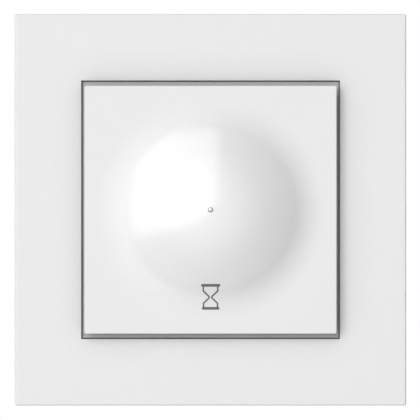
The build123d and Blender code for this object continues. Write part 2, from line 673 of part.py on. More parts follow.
def terminal_block():
    """Moulding in the lower wall: wire entries, walls between the terminals and the tags' rest."""
    face_y = -HOUSING_SIDE / 2
    top = -BLOCK_TOP_DEPTH
    port_y = face_y + PORT_DEPTH / 2
    body = slab(BLOCK_WIDTH, PORT_DEPTH, FLOOR_INSIDE, top, at=(0, port_y))
    chamber_length = REAR_WALL_Y - face_y - PORT_DEPTH
    chamber_y = face_y + PORT_DEPTH + chamber_length / 2
    for i in range(TERMINAL_COUNT + 1):
        x = (i - TERMINAL_COUNT / 2) * TERMINAL_PITCH
        body += slab(TERMINAL_PARTITION, chamber_length, FLOOR_INSIDE, top, at=(x, chamber_y))
    rear_y = REAR_WALL_Y + BLOCK_REAR_WALL / 2
    body += slab(BLOCK_WIDTH, BLOCK_REAR_WALL, FLOOR_INSIDE, -TAG_DEPTH, at=(0, rear_y))
    for x in terminal_places():
        body -= Pos(x, port_y, WIRE_Z) * Box(PORT_SIDE, 2 * PORT_DEPTH, PORT_SIDE)
    return body


def terminal_tag(x):
    """Fixed brass tag, bent up from the clamp to the power board."""
    front = CAGE_Y - CAGE_LENGTH / 2
    rise = REAR_WALL_Y + BLOCK_REAR_WALL
    section = Polyline(
        (front, -TAG_DEPTH),
        (rise + TAG_THICKNESS, -TAG_DEPTH),
        (rise + TAG_THICKNESS, POWER_UNDER),
        (rise, POWER_UNDER),
        (rise, -TAG_DEPTH + TAG_THICKNESS),
        (front, -TAG_DEPTH + TAG_THICKNESS),
        close=True,
    )
    tag = extrude(Plane.YZ * make_face(section), TAG_WIDTH / 2, both=True)
    low_edges = at_level(tag.edges().filter_by(Axis.X), -TAG_DEPTH)
    outer = max(low_edges, key=lambda edge: edge.center().Y)
    return Pos(x, 0, 0) * fillet(outer, TAG_THICKNESS / 2)


def terminal_cage(x):
    """Rising clamp round the tag: its threaded wall is towards the screw head."""
    top = -TAG_DEPTH + TAG_THICKNESS + WIRE_SPACE + CAGE_WALL
    bottom = -TAG_DEPTH - CAGE_TAG_GAP - CAGE_THREAD_WALL
    middle = (top + bottom) / 2
    outline = Pos(0, middle) * RectangleRounded(CAGE_WIDTH, top - bottom, CAGE_WALL / 2)
    opening_bottom = bottom + CAGE_THREAD_WALL
    opening_top = top - CAGE_WALL
    opening = Pos(0, (opening_top + opening_bottom) / 2) * Rectangle(
        CAGE_WIDTH - 2 * CAGE_WALL, opening_top - opening_bottom
    )
    cage = extrude(Plane.XZ * (outline - opening), CAGE_LENGTH / 2, both=True)
    cage = Pos(x, CAGE_Y, 0) * cage
    return cage - pillar(TERMINAL_SCREW_R + TERMINAL_SCREW_FIT, bottom, opening_bottom, at=(x, CAGE_Y))


def terminal_screw(x):
    """Clamp screw, whose head is reached from the back and whose tip bears on the tag."""
    head_back = TERMINAL_HEAD_FRONT - TERMINAL_HEAD_HEIGHT
    place = (x, CAGE_Y)
    body = pillar(TERMINAL_HEAD_R, head_back, TERMINAL_HEAD_FRONT, at=place)
    body += pillar(TERMINAL_SCREW_R, TERMINAL_HEAD_FRONT, -TAG_DEPTH - TERMINAL_SCREW_FIT, at=place)
    return body - cross_slot(TERMINAL_SCREW_R, head_back, head_back + DRIVE_SLOT_DEPTH, place)


def claw_slot_length():
    """Length of the slot that the upright claw screw needs in the foot at the full swing."""
    swing = math.radians(CLAW_SWING)
    shift = CLAW_SCREW_REACH / math.cos(swing) - CLAW_SCREW_REACH
    half_shank = CLAW_SCREW_R / math.cos(swing) + CLAW_THICKNESS / 2 * math.tan(swing)
    return 2 * (shift + half_shank + CLAW_SLOT_GAP)


def claw():
    """Right-hand claw: foot under the plate, forked leg along the housing, toothed tip."""
    pivot_z = -CLAW_PIVOT_DEPTH
    half = CLAW_THICKNESS / 2
    slot_length = claw_slot_length()
    foot_end = CLAW_SCREW_X + slot_length / 2 + CLAW_FOOT_WALL
    leg_end = pivot_z - CLAW_LEG_LENGTH
    tip_end = CLAW_PIVOT_X + CLAW_TIP_REACH
    section = Polyline(
        (CLAW_PIVOT_X, pivot_z + half),
        (foot_end, pivot_z + half),
        (foot_end, pivot_z - half),
        (CLAW_PIVOT_X + half, pivot_z - half),
        (CLAW_PIVOT_X + half, leg_end + CLAW_THICKNESS),
        (tip_end, leg_end + half),
        (tip_end, leg_end),
        (CLAW_PIVOT_X - half, leg_end),
        (CLAW_PIVOT_X - half, pivot_z),
        close=True,
    )
    outline = make_face(section) + Pos(CLAW_PIVOT_X, pivot_z) * Circle(CLAW_PIVOT_R)
    body = extrude(Plane.XZ * outline, CLAW_WIDTH / 2, both=True)
    slot = Box(slot_length, CLAW_SLOT_WIDTH, 2 * CLAW_THICKNESS)
    body -= Pos(CLAW_SCREW_X, 0, pivot_z) * slot
    fork = Box(2 * CLAW_THICKNESS, CLAW_SLOT_WIDTH, CLAW_FORK_DEPTH - CLAW_PIVOT_R)
    fork_z = pivot_z - (CLAW_FORK_DEPTH + CLAW_PIVOT_R) / 2
    body -= Pos(CLAW_PIVOT_X + half, 0, fork_z) * fork
    for y in (-CLAW_WIDTH / 4, CLAW_WIDTH / 4):
        notch = Rot(Z=45) * Rectangle(CLAW_TOOTH, CLAW_TOOTH)
        body -= prism(Pos(tip_end, y) * notch, leg_end, leg_end + CLAW_THICKNESS)
    pin = Cylinder(CLAW_PIN_R, CLAW_WIDTH + 2 * CLAW_PIN_LENGTH, rotation=(90, 0, 0))
    body += Pos(CLAW_PIVOT_X, 0, pivot_z) * pin
    return Pos(0, CLAW_Y, 0) * body


def claw_screw(x):
    """Screw that spreads a claw, with its head on the mounting plate."""
    place = (x, CLAW_Y)
    head_top = PLATE_THICKNESS + CLAW_SCREW_HEAD_HEIGHT
    head = pillar(CLAW_SCREW_HEAD_R, PLATE_THICKNESS, head_top, at=place)
    head = round_edges(head, CLAW_SCREW_HEAD_HEIGHT / 2, head_top)
    body = head + pillar(CLAW_SCREW_R, PLATE_THICKNESS - CLAW_SCREW_LENGTH, PLATE_THICKNESS, at=place)
    return body - cross_slot(CLAW_SCREW_R, head_top - DRIVE_SLOT_DEPTH, head_top, place)


def control_board():
    """Circuit board under the housing cover, notched round the screw bosses."""
    collar_inside = PLATE_OPENING - 2 * COVER_FIT - 2 * COVER_COLLAR_WALL
    side = collar_inside - 2 * CONTROL_GAP
    outline = RectangleRounded(side, side, PLATE_OPENING_R - COVER_COLLAR_WALL)
    for place in screw_places():
        outline -= Pos(*place) * Circle(HOUSING_BOSS_R + BOARD_NOTCH_GAP)
    board = prism(outline, -CONTROL_THICKNESS, 0)
    return max(board.solids(), key=lambda solid: solid.volume)


def power_board():
    """Mains board on the rests of the housing base, notched round the screw bosses."""
    outline = housing_outline(HOUSING_WALL + POWER_GAP)
    for place in screw_places():
        outline -= Pos(*place) * Circle(HOUSING_BOSS_R + BOARD_NOTCH_GAP)
    board = prism(outline, POWER_UNDER, -POWER_TOP_DEPTH)
    return max(board.solids(), key=lambda solid: solid.volume)


def pin_header():
    """Row of pins from the power board to the control board, in their strip."""
    length = HEADER_PINS * HEADER_PITCH
    body_top = -POWER_TOP_DEPTH + HEADER_BODY_HEIGHT
    body = slab(HEADER_BODY_WIDTH, length, -POWER_TOP_DEPTH, body_top, at=(HEADER_X, HEADER_Y))
    for i in range(HEADER_PINS):
        y = HEADER_Y + (i - (HEADER_PINS - 1) / 2) * HEADER_PITCH
        body += slab(HEADER_PIN_SIDE, HEADER_PIN_SIDE, body_top, -CONTROL_THICKNESS, at=(HEADER_X, y))
    return body


def tact_switch():
    """Body of the push switch under the key."""
    body = slab(TACT_SIDE, TACT_SIDE, 0, TACT_HEIGHT, TACT_SIDE / 20, at=(0, TACT_Y))
    bore_r = TACT_PLUNGER_R + TACT_PLUNGER_FIT
    bore_bottom = TACT_HEIGHT - TACT_PLUNGER_SUNK - 2 * TACT_TRAVEL
    return body - pillar(bore_r, bore_bottom, TACT_HEIGHT, at=(0, TACT_Y))


def tact_plunger():
    """Plunger of the push switch, sunk a little in its body."""
    top = TACT_HEIGHT + TACT_PLUNGER_HEIGHT
    body = pillar(TACT_PLUNGER_R, TACT_HEIGHT - TACT_PLUNGER_SUNK, top, at=(0, TACT_Y))
    return round_edges(body, TACT_PLUNGER_EDGE_R, top)


def led():
    """Indicator light on the control board, under the light guide."""
    lens_r = LED_WIDTH / 2 - LED_LENS_INSET
    base = slab(LED_LENGTH, LED_WIDTH, 0, LED_HEIGHT / 2)
    lens = pillar(lens_r, LED_HEIGHT / 2, LED_HEIGHT)
    return base + round_edges(lens, LED_HEIGHT / 4, LED_HEIGHT)


def trimmer_body():
    """Body of the run-on time adjuster."""
    place = (TRIMMER_X, TRIMMER_Y)
    body = slab(TRIMMER_SIDE, TRIMMER_SIDE, 0, TRIMMER_HEIGHT, TRIMMER_SIDE / 20, at=place)
    bore_r = TRIMMER_ROTOR_R + TRIMMER_ROTOR_FIT
    return body - pillar(bore_r, TRIMMER_HEIGHT - TRIMMER_ROTOR_SUNK, TRIMMER_HEIGHT, at=place)


def trimmer_rotor():
    """Rotor of the adjuster, with the arrow-shaped slot for a driver."""
    place = (TRIMMER_X, TRIMMER_Y)
    bottom = TRIMMER_HEIGHT - TRIMMER_ROTOR_SUNK
    top = bottom + TRIMMER_ROTOR_HEIGHT
    body = pillar(TRIMMER_ROTOR_R, bottom, top, at=place)
    slot = Rectangle(2 * DRIVE_SLOT_WIDTH, 2 * TRIMMER_ROTOR_R - 2 * DRIVE_SLOT_WIDTH)
    head = Pos(0, TRIMMER_ROTOR_R / 2) * Triangle(a=TRIMMER_ROTOR_R, b=TRIMMER_ROTOR_R, c=TRIMMER_ROTOR_R)
    return body - prism(Pos(*place) * (slot + head), top - DRIVE_SLOT_DEPTH, top)


def timer_chip():
    """Chip that counts the time."""
    body = slab(CHIP_LENGTH, CHIP_WIDTH, 0, CHIP_HEIGHT, at=(CHIP_X, CHIP_Y))
    return chamfer(body.faces().sort_by(Axis.Z)[-1].edges(), CHIP_HEIGHT / 5)


def relay():
    """Relay under the power board."""
    bottom = POWER_UNDER - RELAY_HEIGHT
    body = slab(RELAY_WIDTH, RELAY_LENGTH, bottom, POWER_UNDER, RELAY_WIDTH / 20, at=(RELAY_X, RELAY_Y))
    return round_edges(body, RELAY_WIDTH / 25, bottom)


def film_capacitor():
    """Mains capacitor under the power board."""
    bottom = POWER_UNDER - FILM_HEIGHT
    body = slab(FILM_WIDTH, FILM_LENGTH, bottom, POWER_UNDER, FILM_WIDTH / 12, at=(FILM_X, FILM_Y))
    return round_edges(body, FILM_WIDTH / 15, bottom)


def electrolytic_capacitor():
    """Round supply capacitor, crimped near its foot."""
    bottom = POWER_UNDER - ELECTROLYTIC_HEIGHT
    groove = ELECTROLYTIC_R / 10
    crimp = POWER_UNDER - 4 * groove
    section = Polyline(
        (0, POWER_UNDER),
        (ELECTROLYTIC_R, POWER_UNDER),
        (ELECTROLYTIC_R, crimp + groove),
        (ELECTROLYTIC_R - groove, crimp),
        (ELECTROLYTIC_R, crimp - groove),
        (ELECTROLYTIC_R, bottom),
        (0, bottom),
        close=True,
    )
    can = revolve(Plane.XZ * make_face(section), Axis.Z)
    can = round_edges(can, 2 * groove, bottom)
    return Pos(ELECTROLYTIC_X, ELECTROLYTIC_Y, 0) * can


def varistor():
    """Disc varistor on its two leads."""
    centre = POWER_UNDER - VARISTOR_LEAD_LENGTH - VARISTOR_R
    disc = Cylinder(VARISTOR_R, VARISTOR_THICKNESS, rotation=(90, 0, 0))
    disc = fillet(disc.edges().filter_by(GeomType.CIRCLE), VARISTOR_THICKNESS / 3)
    body = Pos(VARISTOR_X, VARISTOR_Y, centre) * disc
    lead_offset = VARISTOR_R / 2
    for x in (VARISTOR_X - lead_offset, VARISTOR_X + lead_offset):
        body += pillar(VARISTOR_LEAD_R, centre, POWER_UNDER, at=(x, VARISTOR_Y))
    return body


def fuse():
    """Round plug-in fuse under the power board."""
    bottom = POWER_UNDER - FUSE_HEIGHT
    body = pillar(FUSE_R, bottom, POWER_UNDER, at=(FUSE_X, FUSE_Y))
    return round_edges(body, FUSE_R / 8, bottom)


write_part("cover_frame", cover_frame())
write_part("carrier_ring", carrier_ring())
write_part("key_cap", key_cap())
write_part("light_guide", light_guide())
write_part("key_spring_left", key_spring(-SPRING_X))
write_part("key_spring_right", key_spring(SPRING_X))
write_part("mounting_plate", mounting_plate())
write_part("housing_base", housing_base())
write_part("housing_cover", housing_cover())
write_part("housing_screws", Compound([housing_screw(p) for p in screw_places()]))
write_part("terminal_block", terminal_block())
for number, x in enumerate(terminal_places(), start=1):
    write_part(f"terminal_tag_{number}", terminal_tag(x))
    write_part(f"terminal_cage_{number}", terminal_cage(x))
    write_part(f"terminal_screw_{number}", terminal_screw(x))
write_part("claw_right", claw())
write_part("claw_left", mirror(claw(), Plane.YZ))
write_part("claw_screw_right", claw_screw(CLAW_SCREW_X))
write_part("claw_screw_left", claw_screw(-CLAW_SCREW_X))
write_part("control_board", control_board())
write_part("power_board", power_board())
write_part("pin_header", pin_header())
write_part("tact_switch", tact_switch())
write_part("tact_plunger", tact_plunger())
write_part("led", led())
write_part("trimmer_body", trimmer_body())
write_part("trimmer_rotor", trimmer_rotor())
write_part("timer_chip", timer_chip())
write_part("relay", relay())
write_part("film_capacitor", film_capacitor())
write_part("electrolytic_capacitor", electrolytic_capacitor())
write_part("varistor", varistor())
write_part("fuse", fuse())
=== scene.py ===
"""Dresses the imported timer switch: a square wall switch with a domed push key.

Sizes are in millimetres on the maker's bench, where x runs right, y up the wall and z out
of the wall, with z = 0 on the wall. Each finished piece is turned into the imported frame,
which is (x, -z, y) in metres, so the front of the switch faces -Y.
"""

import logging
import math
from dataclasses import dataclass
from enum import Enum

import bmesh
import bpy
from mathutils import Matrix, Vector


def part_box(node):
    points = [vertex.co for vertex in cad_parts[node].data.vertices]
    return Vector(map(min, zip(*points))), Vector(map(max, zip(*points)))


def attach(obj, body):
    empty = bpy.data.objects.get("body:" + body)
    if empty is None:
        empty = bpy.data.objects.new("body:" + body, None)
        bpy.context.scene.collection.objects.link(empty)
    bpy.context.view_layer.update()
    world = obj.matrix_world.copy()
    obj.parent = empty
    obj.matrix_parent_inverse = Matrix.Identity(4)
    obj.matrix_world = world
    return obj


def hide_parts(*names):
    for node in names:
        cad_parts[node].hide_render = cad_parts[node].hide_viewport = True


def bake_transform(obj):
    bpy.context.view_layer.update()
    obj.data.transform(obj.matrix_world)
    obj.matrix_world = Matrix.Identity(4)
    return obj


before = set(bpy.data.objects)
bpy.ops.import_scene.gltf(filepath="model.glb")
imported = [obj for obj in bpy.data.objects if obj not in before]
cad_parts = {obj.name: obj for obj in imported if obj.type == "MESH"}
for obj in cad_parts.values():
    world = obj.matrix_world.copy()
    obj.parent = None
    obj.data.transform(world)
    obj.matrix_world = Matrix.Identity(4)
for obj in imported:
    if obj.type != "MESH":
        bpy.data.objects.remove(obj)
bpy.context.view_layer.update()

MM = 0.001
BENCH_TO_FRAME = Matrix(((MM, 0, 0, 0), (0, 0, -MM, 0), (0, MM, 0, 0), (0, 0, 0, 1)))
FULL_TURN = 2 * math.pi
QUARTER_TURN = math.pi / 2
UP = Vector((0, 0, 1))
NOISE_MIDDLE = 0.5
WHITE = (1.0, 1.0, 1.0)
SIDES = (("left", -1), ("right", 1))
TERMINALS = range(1, 5)

# Points of a mesh that lie closer than this many millimetres are joined.
JOIN_GAP = 1e-4
PACKED_JOIN_GAP = 1e-3

Pair = tuple[float, float]
Point = tuple[float, float, float]
Colour = tuple[float, float, float]
Section = tuple[Pair, ...]
Mesh = bmesh.types.BMesh
Socket = bpy.types.NodeSocket

log = logging.getLogger("timer_switch")


class Body(Enum):
    """The moving and fixed bodies that new pieces ride on."""

    INSERT = "insert"
    KEY = "key"
    LEFT_CLAW = "left_claw"
    RIGHT_CLAW = "right_claw"
    LEFT_CLAW_SCREW = "left_claw_screw"
    RIGHT_CLAW_SCREW = "right_claw_screw"
    CLAMP_SCREW_1 = "clamp_screw_1"
    CLAMP_SCREW_2 = "clamp_screw_2"
    CLAMP_SCREW_3 = "clamp_screw_3"
    CLAMP_SCREW_4 = "clamp_screw_4"
    CLAMP_CAGE_1 = "clamp_cage_1"
    CLAMP_CAGE_2 = "clamp_cage_2"
    CLAMP_CAGE_3 = "clamp_cage_3"
    CLAMP_CAGE_4 = "clamp_cage_4"


class Op(Enum):
    """The sums that the finishes do, by the Math node's names."""

    ADD = "ADD"
    TIMES = "MULTIPLY"
    LESS = "SUBTRACT"
    HIGHEST = "MAXIMUM"
    ABSOLUTE = "ABSOLUTE"


class Kind(Enum):
    """What a socket of a group carries."""

    NUMBER = "NodeSocketFloat"
    COLOUR = "NodeSocketColor"
    NORMAL = "NodeSocketVector"


class Rounded(Enum):
    """What a bevel rounds off."""

    EDGES = "EDGES"
    CORNERS = "VERTICES"


class Kept(Enum):
    """What a cut across a mesh leaves: the part in front of it or behind it, or its outline alone."""

    FRONT = 1
    REAR = -1
    OUTLINE = 0


class Axis(Enum):
    """The bench's axes that edges are measured along, by their place in a vector."""

    X = 0
    Z = 2


class ColourMix(Enum):
    """Where a Mix node has its sockets when it mixes colours."""

    SHARE = 0
    FIRST = 6
    SECOND = 7
    RESULT = 2


class Tree:
    """A shader node tree with short calls for adding and joining nodes."""

    def __init__(self, tree: bpy.types.NodeTree) -> None:
        """Takes a material's, a group's or the world's node tree, and empties it."""
        self.tree = tree
        tree.nodes.clear()

    def add(self, kind: str, inputs: dict | None = None, **settings: object) -> bpy.types.Node:
        """Adds a node.

        Args:
            kind: the node's type without its ShaderNode prefix.
            inputs: a value or an output socket for each input, by name or place.
            settings: properties of the node.

        Returns:
            The new node.
        """
        node = self.tree.nodes.new("ShaderNode" + kind)
        for name, value in settings.items():
            setattr(node, name, value)
        for name, value in (inputs or {}).items():
            self.feed(node.inputs[name], value)
        return node

    def feed(self, socket: Socket, value: object) -> None:
        """Joins an output to a socket, or sets the socket's own value.

        Args:
            socket: the input to fill.
            value: an output socket, a number, a vector or a colour.
        """
        if isinstance(value, Socket):
            self.tree.links.new(value, socket)
        elif socket.type == "RGBA" and len(value) == 3:
            socket.default_value = (*value, 1.0)
        else:
            socket.default_value = value

    def places(self) -> Socket:
        """The object's own coordinates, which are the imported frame's, in metres."""
        return self.add("TexCoord").outputs["Object"]

    def wall_places(self) -> Socket:
        """The same coordinates without their depth, so that a pattern lies flat on the wall."""
        split = self.add("SeparateXYZ", {0: self.places()}).outputs
        return self.add("CombineXYZ", {"X": split["X"], "Y": split["Z"]}).outputs[0]

    def noise(self, size: float, detail: float, stretch: Point = (1, 1, 1)) -> Socket:
        """A cloudy value between 0 and 1.

        Args:
            size: how far apart the clouds lie, in millimetres.
            detail: how many finer layers lie on them.
            stretch: how many times finer the clouds are along each axis.

        Returns:
            The value.
        """
        turned = self.add("Mapping", {"Vector": self.places(), "Scale": stretch}).outputs[0]
        inputs = {"Vector": turned, "Scale": 1 / (size * MM), "Detail": detail}
        return self.add("TexNoise", inputs).outputs["Fac"]

    def maths(self, op: Op, a: object, b: object = 0.0) -> Socket:
        """One sum on two values."""
        return self.add("Math", {0: a, 1: b}, operation=op.value).outputs[0]

    def gain(self, colour: Socket, factor: object) -> Socket:
        """A colour made lighter or darker by a factor."""
        return self.add("VectorMath", {0: colour, "Scale": factor}, operation="SCALE").outputs[0]

    def span(
        self, value: object, low: object, high: object, start: object, end: object, **settings: object
    ) -> Socket:
        """Carries a value from the range low to high to the range start to end, held at its ends."""
        inputs = {"Value": value, "From Min": low, "From Max": high, "To Min": start, "To Max": end}
        return self.add("MapRange", inputs, **settings).outputs["Result"]

    def blend(self, share: object, first: object, second: object) -> Socket:
        """Mixes a share of the second colour into the first."""
        inputs = {ColourMix.SHARE.value: share, ColourMix.FIRST.value: first, ColourMix.SECOND.value: second}
        return self.add("Mix", inputs, data_type="RGBA").outputs[ColourMix.RESULT.value]

    def bump(self, height: object, depth: object) -> Socket:
        """Turns a height from 0 to 1 into a normal, with the depth of the relief in metres."""
        return self.add("Bump", {"Height": height, "Strength": 1.0, "Distance": depth}).outputs["Normal"]


class Effect:
    """A group of nodes that several finishes share."""

    def __init__(self, name: str, inputs: dict[str, float | Colour], outputs: dict[str, Kind]) -> None:
        """Makes the group with its named inputs and outputs.

        Args:
            name: the group's name.
            inputs: each input's usual value, a number or a colour, by name.
            outputs: what each output carries, by name.
        """
        self.group = bpy.data.node_groups.new(name, "ShaderNodeTree")
        self.tree = Tree(self.group)
        face = self.group.interface
        for label, usual in inputs.items():
            colour = isinstance(usual, tuple)
            kind = Kind.COLOUR if colour else Kind.NUMBER
            socket = face.new_socket(label, in_out="INPUT", socket_type=kind.value)
            socket.default_value = (*usual, 1.0) if colour else usual
        for label, kind in outputs.items():
            face.new_socket(label, in_out="OUTPUT", socket_type=kind.value)
        self.given = self.group.nodes.new("NodeGroupInput").outputs
        self.result = self.group.nodes.new("NodeGroupOutput").inputs

    def give(self, **values: Socket) -> None:
        """Feeds the group's outputs, by name."""
        for name, value in values.items():
            self.tree.feed(self.result[name], value)

    def place(self, tree: Tree, **values: object) -> dict[str, Socket]:
        """Puts the effect in a material with values for its inputs, and returns its outputs by name."""
        node = tree.add("Group", values, node_tree=self.group)
        return {socket.name: socket for socket in node.outputs}


@dataclass
class SharedEffects:
    """The effects that more than one finish uses, and the sizes of their patterns in millimetres."""

    flow_size: float = 14.0
    dust_and_shade_samples: int = 8
    spark_size: float = 0.22
    ripple_size: float = 1.4
    ripple_share: float = 0.5
    line_size: float = 0.35
    line_stretch: Point = (0.04, 1.0, 1.0)
    stain_size: float = 6.0
    stain_span: Pair = (0.4, 0.75)
    stain_share: float = 0.8
    spangle_size: float = 1.6
    spangle_gain: Pair = (0.92, 1.06)
    streak_sheen: float = 0.3
    wear_and_highlight_samples: int = 4
    edge_cosines: Pair = (0.995, 0.85)
    patch_size: float = 1.2
    patch_span: Pair = (0.4, 0.65)
    patch_least: float = 0.2

    def __post_init__(self) -> None:
        """Builds each effect once."""
        self.tone = self.tone_drift()
        self.dust = self.crevice_dust()
        self.grain = self.moulding_grain()
        self.streaks = self.rolling_streaks()
        self.wear = self.edge_wear()

    def tone_drift(self) -> Effect:
        """Slow changes of tone over a moulding, as from the flow of the melt.

        Returns:
            The effect.
        """
        effect = Effect("Tone drift", {"Colour": (0.8, 0.8, 0.8), "Amount": 0.02}, {"Colour": Kind.COLOUR})
        tree, given = effect.tree, effect.given
        cloud = tree.maths(Op.LESS, tree.noise(self.flow_size, detail=3.0), NOISE_MIDDLE)
        factor = tree.maths(Op.ADD, tree.maths(Op.TIMES, cloud, given["Amount"]), 1.0)
        effect.give(Colour=tree.gain(given["Colour"], factor))
        return effect

    def crevice_dust(self) -> Effect:
        """Painted shade where surfaces meet and hide each other from the light, which also stands for the
        dust that gathers there.

        Returns:
            The effect.
        """
        inputs = {
            "Colour": (0.8, 0.8, 0.8), "Film": (0.3, 0.3, 0.3), "Amount": 0.3, "Reach": 0.005, "Full": 0.62,
        }
        effect = Effect("Crevice shade and dirt", inputs, {"Colour": Kind.COLOUR})
        tree, given = effect.tree, effect.given
        # The occlusion by nearby surfaces sets where the shade, with the dust, is painted.
        nearby = tree.add("AmbientOcclusion", {"Distance": given["Reach"]}, samples=self.dust_and_shade_samples)
        closed = tree.span(nearby.outputs["AO"], 1.0, given["Full"], 0.0, 1.0)
        mask = tree.maths(Op.TIMES, closed, given["Amount"])
        effect.give(Colour=tree.blend(mask, given["Colour"], given["Film"]))
        return effect

    def moulding_grain(self) -> Effect:
        """The fine spark texture that a mould leaves, as a normal and a roughness.

        Returns:
            The effect.
        """
        inputs = {"Depth": 0.004, "Roughness": 0.4, "Spread": 0.1}
        effect = Effect("Moulding grain", inputs, {"Normal": Kind.NORMAL, "Roughness": Kind.NUMBER})
        tree, given = effect.tree, effect.given
        sparks = tree.noise(self.spark_size, detail=4.0)
        ripple = tree.noise(self.ripple_size, detail=2.0)
        height = tree.maths(Op.ADD, sparks, tree.maths(Op.TIMES, ripple, self.ripple_share))
        swing = tree.maths(Op.TIMES, tree.maths(Op.LESS, ripple, NOISE_MIDDLE), given["Spread"])
        effect.give(
            Normal=tree.bump(height, tree.maths(Op.TIMES, given["Depth"], MM)),
            Roughness=tree.maths(Op.ADD, given["Roughness"], swing),
        )
        return effect

    def rolling_streaks(self) -> Effect:
        """Long fine lines and stains of rolled and plated metal.

        Returns:
            The effect.
        """
        inputs = {"Colour": (0.6, 0.6, 0.6), "Stain": (0.5, 0.5, 0.45), "Roughness": 0.3, "Depth": 0.002}
        outputs = {"Colour": Kind.COLOUR, "Roughness": Kind.NUMBER, "Normal": Kind.NORMAL}
        effect = Effect("Rolling streaks", inputs, outputs)
        tree, given = effect.tree, effect.given
        lines = tree.noise(self.line_size, detail=3.0, stretch=self.line_stretch)
        clouds = tree.noise(self.stain_size, detail=4.0)
        stained = tree.span(clouds, *self.stain_span, 0.0, self.stain_share)
        cells = tree.add("TexVoronoi", {"Vector": tree.places(), "Scale": 1 / (self.spangle_size * MM)})
        spangle = tree.add("SeparateColor", {0: cells.outputs["Color"]}).outputs[0]
        swing = tree.maths(Op.LESS, tree.maths(Op.ADD, lines, clouds), 2 * NOISE_MIDDLE)
        effect.give(
            Colour=tree.gain(
                tree.blend(stained, given["Colour"], given["Stain"]),
                tree.span(spangle, 0.0, 1.0, *self.spangle_gain),
            ),
            Roughness=tree.maths(Op.ADD, given["Roughness"], tree.maths(Op.TIMES, swing, self.streak_sheen)),
            Normal=tree.bump(lines, tree.maths(Op.TIMES, given["Depth"], MM)),
        )
        return effect

    def edge_wear(self) -> Effect:
        """A mask of the outer edges, where handling rubs a surface bright, and which also paints a highlight
        on them.

        Returns:
            The effect.
        """
        effect = Effect("Edge rubbing and highlight", {"Width": 0.15, "Amount": 0.5}, {"Mask": Kind.NUMBER})
        tree, given = effect.tree, effect.given
        width = tree.maths(Op.TIMES, given["Width"], MM)
        rounded = tree.add("Bevel", {"Radius": width}, samples=self.wear_and_highlight_samples).outputs[0]
        plain = tree.add("NewGeometry").outputs["Normal"]
        cosine = tree.add("VectorMath", {0: rounded, 1: plain}, operation="DOT_PRODUCT").outputs["Value"]
        bend = tree.span(cosine, *self.edge_cosines, 0.0, 1.0)
        broken = tree.span(tree.noise(self.patch_size, detail=4.0), *self.patch_span, self.patch_least, 1.0)
        effect.give(Mask=tree.maths(Op.TIMES, tree.maths(Op.TIMES, bend, broken), given["Amount"]))
        return effect


def new_material(name: str) -> tuple[bpy.types.Material, Tree]:
    """Makes a material without nodes.

    Args:
        name: the material's name.

    Returns:
        The material, and its tree to fill.
    """
    made = bpy.data.materials.new(name)
    made.use_nodes = True
    return made, Tree(made.node_tree)


def lighter(colour: Colour, step: float) -> Colour:
    """A colour with each channel raised by a step, up to white."""
    return tuple(min(1.0, channel + step) for channel in colour)


@dataclass(frozen=True)
class Job:
    """A material in the making: its nodes, its shader's sockets and the shared effects."""

    tree: Tree
    sockets: bpy.types.NodeInputs
    effects: SharedEffects

    def fill(self, values: dict[str, object]) -> None:
        """Feeds the shader's sockets, by name."""
        for name, value in values.items():
            self.tree.feed(self.sockets[name], value)


@dataclass(frozen=True)
class Finish:
    """A finish named after the record's material slot that it fills."""

    slot: str
    colour: Colour

    def material(self, effects: SharedEffects) -> bpy.types.Material:
        """Makes the finish's material.

        Args:
            effects: the shared effects.

        Returns:
            The material.
        """
        made, tree = new_material(self.slot)
        shader = tree.add("BsdfPrincipled")
        tree.add("OutputMaterial", {"Surface": shader.outputs[0]})
        self.dress(Job(tree, shader.inputs, effects))
        return made

    def dress(self, job: Job) -> None:
        """Fills the shader's sockets."""
        raise NotImplementedError


@dataclass(frozen=True)
class MouldedPlastic(Finish):
    """Opaque moulded plastic, from satin to textured, with dust and painted shade in its corners, and worn
    edges that also carry a painted highlight.
    """

    roughness: float
    grain: float
    drift: float
    film: Colour
    dust_shade_amount: float
    dust_shade_reach: float
    wear: float = 0.0
    specular: float = 0.5
    dust_shade_full: float = 0.62
    spread: float = 0.12
    wear_and_highlight_width: float = 0.2
    wear_and_highlight_step: float = 0.25

    def dress(self, job: Job) -> None:
        """Lays drift, grain, dust with painted shade, and wear with a painted edge highlight on the colour.

        Args:
            job: the material in the making.
        """
        tree, effects = job.tree, job.effects
        toned = effects.tone.place(tree, Colour=self.colour, Amount=self.drift)["Colour"]
        # Dust and painted shade in the corners, from the occlusion by nearby surfaces.
        shown = effects.dust.place(
            tree, Colour=toned, Film=self.film, Amount=self.dust_shade_amount, Reach=self.dust_shade_reach * MM,
            Full=self.dust_shade_full,
        )["Colour"]
        # Lighter edges: wear, and a painted highlight.
        if self.wear:
            mask = effects.wear.place(tree, Width=self.wear_and_highlight_width, Amount=self.wear)["Mask"]
            shown = tree.blend(mask, shown, lighter(self.colour, self.wear_and_highlight_step))
        skin = effects.grain.place(tree, Depth=self.grain, Roughness=self.roughness, Spread=self.spread)
        job.fill({"Base Color": shown, **skin, "Specular IOR Level": self.specular})


